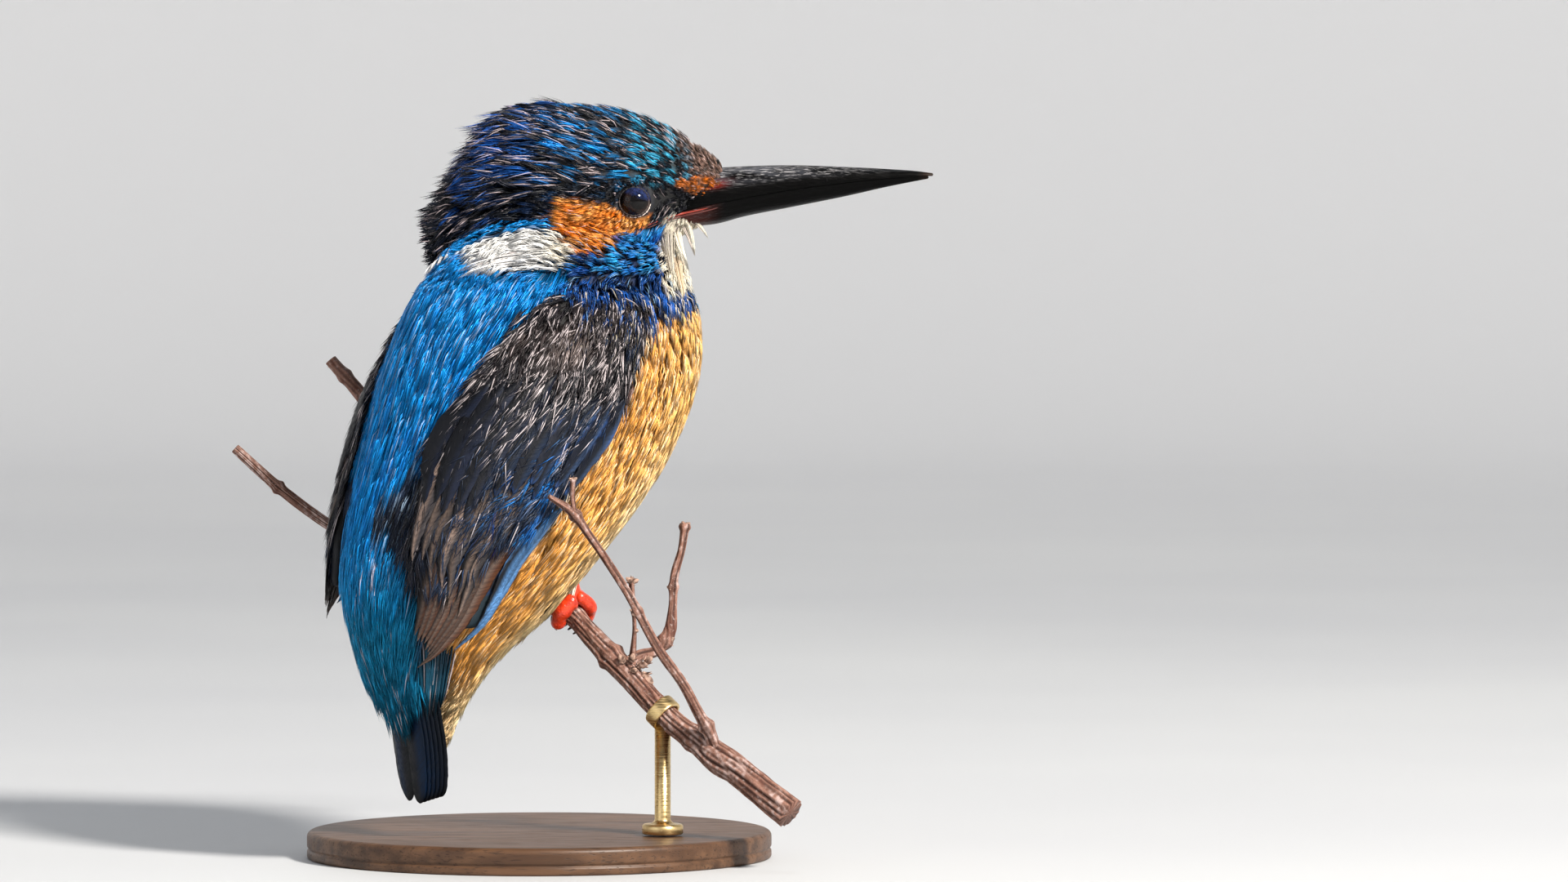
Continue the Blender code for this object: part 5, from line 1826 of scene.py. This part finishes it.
def bill(part, table, upper):
    """A mandible: arched sections on a flat face. The upper one has a keel along its ridge, a groove from
    the nostril and the nostril's slit; both are bluntly pointed."""
    steps, arch = 150, 33
    along = np.linspace(22.0, table[-1][0], steps)
    row = rows_at(table, along)
    turn = np.linspace(0, math.pi, arch)[None, :]
    flat, ridge, wide = (row[:, k][:, None] for k in (1, 2, 3))
    if not upper:
        wide = np.maximum(rows_at(BILL_UPPER, along)[:, 3:] - 0.10
                          - 0.25 * ease(60, 68, along)[:, None], 0.1)
    side = wide * np.cos(turn)
    meet = flat + (-0.22 if upper else 0.24)
    high = meet + (ridge - meet) * np.sin(turn) ** 0.95
    x = along[:, None] + 0 * turn
    lean = np.abs(np.cos(turn))
    if upper:
        groove = np.exp(-(((lean - 0.86) / 0.07) ** 2)) * ease(58, 34, x) * ease(26, 30, x)
        side = side * (1 - 0.05 * groove)
        slit = np.exp(-(((x - 31.8) / 2.3) ** 2) - ((high - (119.0 + 0.16 * (x - 31.8))) / 0.32) ** 2)
        side = side - np.sign(np.cos(turn)) * 0.75 * slit * (np.abs(side) > 0.8)
        keel = np.exp(-((lean / 0.16) ** 2)) * ease(70, 60, x) * 0.10
        high = high + keel
    else:
        groove = np.exp(-(((lean - 0.8) / 0.09) ** 2)) * ease(46, 30, x) * ease(24, 27, x)
        side = side * (1 - 0.07 * groove)
    outer = np.stack([x, HEAD_ACROSS + side, high], -1)
    across = np.linspace(1, -1, 9)[1:-1][None, ::-1]
    lower = stacked(along[:, None], HEAD_ACROSS + wide * across, meet + 0 * across)
    rings = np.concatenate([outer, lower], axis=1)
    whole = closed(rings)
    points = whole[0]
    points[-1, 0] += 0.15
    x, z = points[:, 0], points[:, 2]
    colour = np.tile(tone(3, 3, 3), (len(points), 1))
    colour = mix(colour, tone(70, 54, 46), ease(66.5, 69.5, x) * 0.35)
    if upper:
        red = np.exp(-(((x - 31.0) / 2.0) ** 2) - ((z - (118.9 + 0.16 * (x - 31.8))) / 0.55) ** 2)
        colour = mix(colour, tone(140, 40, 26), 0.8 * red)
        row = rows_at(table, x)
        share = (z - row[:, 1]) / np.maximum(row[:, 2] - row[:, 1], 0.1)
        # The wet mask is a painted sheen with grey scuffs on the upper part of the upper mandible,
        # strongest from the base to the middle and fainter along the ridge to the tip.
        wet = (ease(0.30, 0.72, share) * ease(64, 40, x) * ease(25, 31, x)
               + 0.4 * ease(0.5, 0.9, share) * ease(69, 50, x))
    else:
        colour = mix(colour, tone(96, 40, 30), 0.55 * ease(33.0, 25.0, x))
        # Painted sheen and scuffs on the lower mandible near its base.
        wet = 0.25 * ease(34, 27, x)
    colour = np.column_stack([colour, np.clip(wet, 0, 1)])
    horn = build_bill_finish(f"mandible_{part}_horn", 0.9 if upper else 0.5)
    finish(mesh_piece("mandible_" + part, *whole, horn, colour), "horn", "bill_" + part)


def claws():
    material = build_claw_finish()
    turned = math.degrees(CLAW_LENGTH / 3.7)
    for side in FEET:
        place = foot_place(side)
        for number, (slide, _, end, sign) in enumerate(toe_list(), 1):
            t = np.linspace(-0.25, 1, 30)
            radius = CLAW_RADIUS * (1 - 0.75 * np.clip(t, 0, 1) ** 1.2)
            around = end + sign * (CLAW_START + t * turned)
            path = grip(place + slide + 0 * t, around, GAP + TOE_RADIUS + 0.4 * t)
            inward = grip(place + slide + 0 * t, around, 0 * t) - path
            made = sweep(path, radius * 0.85, radius * 1.1, -inward, around=14)
            piece = mesh_piece(f"claw_sheath_{side}_{number}", *made, material)
            finish(piece, "horn", f"claw_{side}_{number}")


# ---------------------------------------------------------------- perch


def bark_bar(rng, route, ridges, nodes=(), step=0.3, around=36):
    """A twig along a route: raised long ridges that wander round it, a swollen ring at each node and rough
    ends. Gives points, faces and colours whose fourth value is the ridge's height."""
    rows = evenly(route, step)
    length = len(rows) * step
    s = np.arange(len(rows)) * step
    radius = rows[:, 3].copy()
    for at, swell, reach in nodes:
        radius *= 1 + swell * np.exp(-(((s - at * length) / reach) ** 2))
    phases = rng.uniform(0, FULL, 6)

    def bark(turn, ring):
        place = ring * step
        wander = 0.35 * np.sin(place / 7.0 + phases[0]) + 0.12 * np.sin(place / 2.1 + phases[1])
        ridge = 0.5 * np.sin(ridges * (turn + wander * 0.6) + phases[2])
        ridge = ridge + 0.4 * np.sin((ridges + 5) * (turn - wander * 0.3) - place / 6.0 + phases[3])
        ridge = ridge + 0.4 * np.sin((ridges // 2 + 1) * (turn + wander * 0.5) + place / 9.0 + phases[4])
        scar = np.sin(place / 0.8 + 3 * np.sin(turn + phases[4])) * np.sin(place / 4.7 + phases[5])
        ridge = np.sign(ridge) * np.abs(ridge) ** 0.7
        return 1 + 0.065 * ridge + 0.015 * scar

    points, quads, triangles = sweep(rows[:, :3], radius, radius, (0.31, 0.52, 0.79), around, bark)
    turn = np.linspace(0, FULL, around, endpoint=False)[None, :]
    ring = np.arange(len(rows))[:, None]
    ridge = np.clip((bark(turn, ring) - 0.94) / 0.12, 0, 1).ravel()
    ridge = np.append(ridge, [0.5, 0.5])
    blotch = mottle(points, 9.0, 31) * 0.5 + mottle(points, 1.3, 32) * 0.5
    colour = mix(tone(52, 27, 19), tone(160, 118, 102), ridge)
    colour = mix(colour, tone(208, 184, 178), ease(0.1, 0.7, blotch) * ridge * 0.9)
    colour = mix(colour, tone(82, 36, 24), ease(0.2, 0.8, -blotch) * 0.6)
    return (points, quads, triangles), np.column_stack([np.clip(colour, 0, 1), ridge])


def bud(rng, place, way, size, scales=5):
    """A rough bud: a short pointed bar ringed by scales that curl away from it."""
    way = unit(np.array(way, float))
    parts = []
    t = np.linspace(0, 1, 12)
    path = np.array(place) + way * (t * size)[:, None]
    radius = size * 0.38 * np.sin(np.clip(t * 0.86 + 0.14, 0, 1) * math.pi) ** 0.7 + 0.03
    hint = unit(np.cross(way, [0.3, 0.9, 0.2]))
    parts.append(sweep(path, radius, radius * 0.85, hint, around=9))
    other = np.cross(way, hint)
    for k in range(scales):
        turn = FULL * k / scales + rng.uniform(-0.4, 0.4)
        out = hint * math.cos(turn) + other * math.sin(turn)
        t = np.linspace(0, 1, 8)[:, None]
        reach = size * rng.uniform(0.5, 0.95)
        path = np.array(place) + way * (t * reach * 0.7) + out * (size * 0.3 + reach * 0.45 * t**1.6)
        width = size * 0.24 * (1 - 0.8 * t[:, 0])
        parts.append(sweep(path, width, width * 0.4, out, around=7))
    return gather(parts)


def point_of(route, share):
    rows = evenly(route)
    return rows[int(share * (len(rows) - 1)), :3]


def perch(rng):
    """The main twig, its side shoots, their collars and buds, as one piece."""
    bars = [
        bark_bar(rng, PERCH, 13,
                 ((0.18, 0.18, 1.2), (0.345, 0.22, 0.8), (0.42, 0.10, 0.7), (0.6, 0.12, 1.0),
                                 (0.80, 0.35, 0.7), (0.92, 0.4, 0.6)), around=84),
        bark_bar(rng, FRONT_SHOOT, 4, ((0.1, 0.45, 0.8), (0.52, 0.25, 0.7), (0.88, 0.5, 0.8))),
        bark_bar(rng, FRONT_SPUR, 3, ((0.95, 0.3, 0.5),), around=24),
        bark_bar(rng, BACK_SHOOT, 4, ((0.30, 0.5, 0.9), (0.62, 0.35, 0.6), (0.97, 0.4, 0.5))),
        bark_bar(rng, THIN_SHOOT, 3, ((0.6, 0.4, 0.5),), around=24),
        bark_bar(rng, LEFT_SHOOT, 4, ((0.9, 0.25, 0.8), (0.6, 0.2, 0.8))),
    ]
    parts = [bar[0] for bar in bars]
    colours = [bar[1] for bar in bars]
    fork = np.array([15.6, -9.6, 33.6])
    buds = [(fork + np.array([dx, dy, dz]), (wx, wy, wz), size) for dx, dy, dz, wx, wy, wz, size in (
        (-0.6, -1.6, 1.6, -0.4, -0.5, 0.8, 1.7),
        (0.9, -1.7, 1.9, 0.2, -0.6, 0.7, 1.6),
        (2.2, -1.2, 0.9, 0.8, -0.5, 0.1, 1.8),
        (2.6, -1.2, -1.0, 0.9, -0.4, -0.5, 2.6),
        (1.2, -2.0, 0.2, 0.3, -0.9, -0.1, 1.5),
        (3.4, -0.2, 1.4, 0.7, -0.3, 0.6, 1.6),
    )]
    for route, share, way, size in (
        (FRONT_SHOOT, 0.10, (0.8, -0.4, 0.5), 1.6),
        (FRONT_SHOOT, 0.12, (-0.9, -0.3, 0.2), 1.3),
        (FRONT_SHOOT, 0.52, (-0.9, -0.2, -0.1), 1.3),
        (FRONT_SHOOT, 0.88, (0.9, -0.3, 0.4), 1.1),
        (FRONT_SHOOT, 0.86, (0.6, -0.6, -0.3), 0.9),
        (FRONT_SPUR, 0.97, (0.8, -0.1, 0.5), 0.9),
        (FRONT_SPUR, 0.97, (-0.9, -0.1, 0.4), 0.8),
        (BACK_SHOOT, 0.31, (0.9, -0.2, 0.3), 2.0),
        (BACK_SHOOT, 0.28, (-0.8, -0.4, 0.5), 1.8),
        (BACK_SHOOT, 0.25, (0.6, -0.3, -0.7), 1.5),
        (BACK_SHOOT, 0.62, (-0.9, -0.2, 0.4), 1.3),
        (BACK_SHOOT, 0.985, (0.7, -0.1, 0.5), 1.2),
        (BACK_SHOOT, 0.985, (-0.5, -0.2, 0.9), 1.1),
        (THIN_SHOOT, 0.38, (0.8, -0.4, 0.3), 0.9),
        (THIN_SHOOT, 0.60, (0.9, -0.3, 0.5), 1.0),
        (THIN_SHOOT, 0.64, (-0.9, -0.3, 0.3), 0.8),
        (THIN_SHOOT, 0.99, (0.9, -0.1, 0.3), 1.4),
        (THIN_SHOOT, 0.99, (-0.7, -0.2, 0.6), 1.3),
        (THIN_SHOOT, 0.99, (0.1, -0.4, 0.9), 1.1),
        (PERCH, 0.80, (-0.3, -0.5, 0.8), 1.0),
        (PERCH, 0.92, (0.4, -0.5, 0.7), 0.9),
        (PERCH, 0.985, (-0.4, -0.3, 0.9), 0.9),
        (LEFT_SHOOT, 0.97, (-0.8, -0.3, 0.5), 1.5),
        (LEFT_SHOOT, 0.90, (0.6, -0.5, 0.5), 1.3),
        (LEFT_SHOOT, 0.93, (-0.6, -0.5, -0.5), 1.2),
    ):
        buds.append((point_of(route, share), way, size))
    for place, way, size in buds:
        part = bud(rng, place, way, size)
        parts.append(part)
        ridge = np.clip(0.5 + 0.5 * mottle(part[0], 0.9, 33), 0, 1)
        colour = mix(tone(58, 36, 30), tone(214, 178, 158), ridge)
        colours.append(np.column_stack([colour, ridge]))
    made = mesh_piece("twig_perch", *gather(parts), build_bark_finish(), np.concatenate(colours))
    finish(made, "bark", "perch_twig", "perch_front_shoot", "perch_back_shoot", "perch_left_shoot")


# ---------------------------------------------------------------- stand, floor, lights and camera


def turned(profile, centre, around):
    """A turned shape about an upright axis: rings at the profile's (radius, height) rows, closed at both
    ends."""
    turn = np.linspace(0, FULL, around, endpoint=False)
    radius, height = np.array(profile, float).T
    x = centre[0] + radius[:, None] * np.cos(turn)
    y = centre[1] + radius[:, None] * np.sin(turn)
    rings = stacked(x, y, height[:, None]).reshape(-1, 3)
    ends = [[*centre, height[0]], [*centre, height[-1]]]
    quads, triangles = tube_faces(len(profile), around)
    return np.concatenate([rings, ends]), quads, triangles


def stand():
    """A turned wooden base with a softened edge and a shallow bead, and a brass rod whose band holds the
    twig."""
    round_edge = [(BASE_RADIUS - 1.0 + np.sin(a), BASE_HEIGHT - 1.0 + np.cos(a))
                  for a in np.linspace(1.5, 0, 9)]
    low_edge = [(BASE_RADIUS - 0.5 + 0.5 * np.cos(a), 0.5 - 0.5 * np.sin(a))
                for a in np.linspace(1.5, 0, 6)]
    bead = [(BASE_RADIUS - 0.35 * np.exp(-(((z - 1.7) / 0.25) ** 2)), z) for z in np.linspace(0.7, 3.6, 16)]
    inner = [(r, BASE_HEIGHT) for r in np.linspace(BASE_RADIUS - 2, 2, 14)]
    profile = [(2.0, 0.0), (BASE_RADIUS - 1, 0.0)] + low_edge + bead + round_edge + inner
    made = mesh_piece("turned_base", *turned(profile, (0.0, 0.0), 192), build_wood_finish())
    finish(made, "base_wood", "stand_base")
    line = evenly(PERCH)
    nearest = int(np.argmin(np.abs(line[:, 0] - ROD_ALONG)))
    held, radius = line[nearest, :3], line[nearest, 3]
    foot = BASE_HEIGHT + GAP
    step = foot + ROD_FOOT_HEIGHT
    cove = [(ROD_RADIUS + 1.5 * (1 - np.sin(a)), step + 0.9 - 0.9 * np.cos(a))
            for a in np.linspace(0, 1.5, 8)]
    profile = [(0.5, foot), (ROD_FOOT_RADIUS - 0.2, foot), (ROD_FOOT_RADIUS, foot + 0.2),
               (ROD_FOOT_RADIUS, step - 0.3),
               (ROD_FOOT_RADIUS - 0.3, step)] + cove + [(ROD_RADIUS, held[2] - radius - 0.1)]
    rod = turned(profile, held[:2], 64)
    along = unit(line[nearest + 2, :3] - line[nearest - 2, :3])
    one = unit(np.cross(along, [0, 0, 1]))
    two = np.cross(along, one)
    ring = np.linspace(0, FULL, 72, endpoint=False)
    section = np.linspace(0, FULL, 24, endpoint=False)
    squared = (np.abs(np.cos(section)) ** 0.35 * np.sign(np.cos(section)),
               np.abs(np.sin(section)) ** 0.35 * np.sign(np.sin(section)))
    reach = radius + GAP + BAND_THICKNESS * (0.5 + 0.5 * squared[1])
    way = one * np.cos(ring)[:, None] + two * np.sin(ring)[:, None]
    band = held + way[:, None] * reach[None, :, None] + along * (BAND_WIDTH / 2 * squared[0])[None, :, None]
    i, j = np.meshgrid(np.arange(72), np.arange(24), indexing="ij")
    k, m = (i + 1) % 72, (j + 1) % 24
    faces = np.stack([i * 24 + j, k * 24 + j, k * 24 + m, i * 24 + m], -1).reshape(-1, 4)
    whole = gather([rod, (band.reshape(-1, 3), faces, np.zeros((0, 3), int))])
    made = mesh_piece("turned_rod", *whole, build_brass_finish())
    finish(made, "brass", "stand_rod")


def floor():
    """A pale round floor that curves up into a wall on every side: a flat run, a quarter circle and the
    wall."""
    around = 96
    flat = [(r, 0.0) for r in (30.0, 200.0, 600.0, 1200.0)]
    curve = [
        (FLAT_REACH + BEND_RADIUS * np.sin(a), BEND_RADIUS - BEND_RADIUS * np.cos(a))
        for a in np.linspace(0, math.pi / 2, 24)
    ]
    wall = [(FLAT_REACH + BEND_RADIUS, WALL_TOP)]
    points, quads, triangles = turned(flat + curve + wall, (0.0, 0.0), around)
    material, tree, shader = new_finish("pale_floor", Roughness=0.7)
    away = node(tree, "ShaderNodeVectorMath", operation="LENGTH")
    tree.links.new(node(tree, "ShaderNodeTexCoord").outputs["Object"], away.inputs[0])
    paler = spread(tree, away.outputs["Value"], 0.6, 2.4)
    colour = mixed(tree, patches(tree, 400.0, 0.3, 0.7), (0.50, 0.51, 0.53), (0.55, 0.56, 0.57))
    tree.links.new(mixed(tree, paler, colour, (0.90, 0.91, 0.93)), shader.inputs["Base Color"])
    # Seen from inside, and closed at the middle of the floor only.
    mesh_piece("studio_floor", points, quads[:, ::-1], triangles[:around, ::-1], material)


def place_object(name, data, place, way):
    """A light or camera at a place, looking along a way."""
    made = bpy.data.objects.new(name, data)
    bpy.context.scene.collection.objects.link(made)
    made.location = place
    made.rotation_mode = "QUATERNION"
    made.rotation_quaternion = way.to_track_quat("-Z", "Y")
    return made


def lights():
    """A hard warm sun from the right, a wide cool fill and a soft light from above and behind."""
    aim = Vector((0.0, 0.0, 0.08))
    for name, place, size, power, colour in (
        ("key_light", (0.95, -1.05, 1.15), 0.30, 64.0, (1.0, 0.95, 0.88)),
        ("fill_light", (-1.2, -1.3, 0.6), 1.2, 2.2, (0.82, 0.9, 1.0)),
        ("top_light", (-0.1, 0.5, 1.5), 0.9, 6.0, (0.92, 0.96, 1.0)),
    ):
        light = bpy.data.lights.new(name, "AREA")
        light.shape = "DISK"
        light.size, light.energy, light.color = size, power, colour
        place_object(name, light, place, aim - Vector(place))
    studio = bpy.data.worlds.new("studio")
    studio.use_nodes = True
    background = studio.node_tree.nodes["Background"].inputs
    background["Color"].default_value = (0.62, 0.68, 0.76, 1.0)
    background["Strength"].default_value = 0.13
    bpy.context.scene.world = studio


def camera():
    """A long lens square to the bill, a little above it, with the bird left of the middle."""
    lens = bpy.data.cameras.new("camera")
    lens.lens, lens.sensor_width = 200.0, 36.0
    lens.clip_start, lens.clip_end = 0.05, 20.0
    raised, distance = math.radians(2.0), 1.536
    back = Vector((0.0, -math.cos(raised), math.sin(raised)))
    made = place_object("camera", lens, Vector((0.0432, 0.0, 0.0735)) + back * distance, -back)
    bpy.context.scene.camera = made
    bpy.context.scene.view_settings.view_transform = "Standard"


def build():
    rng = np.random.default_rng(SEED)
    skin()
    eyes()
    bill("upper", BILL_UPPER, True)
    bill("lower", BILL_LOWER, False)
    claws()
    perch(rng)
    grow_head(rng)
    grow_neck(rng)
    grow_back(rng)
    grow_underside(rng)
    grow_wisps(rng)
    for side, sign in (("right", -1), ("left", 1)):
        wing_feathers(rng, side, sign)
        grow_wing(rng, side, sign)
    tail_feathers(rng)
    stand()
    floor()
    lights()
    camera()


build()
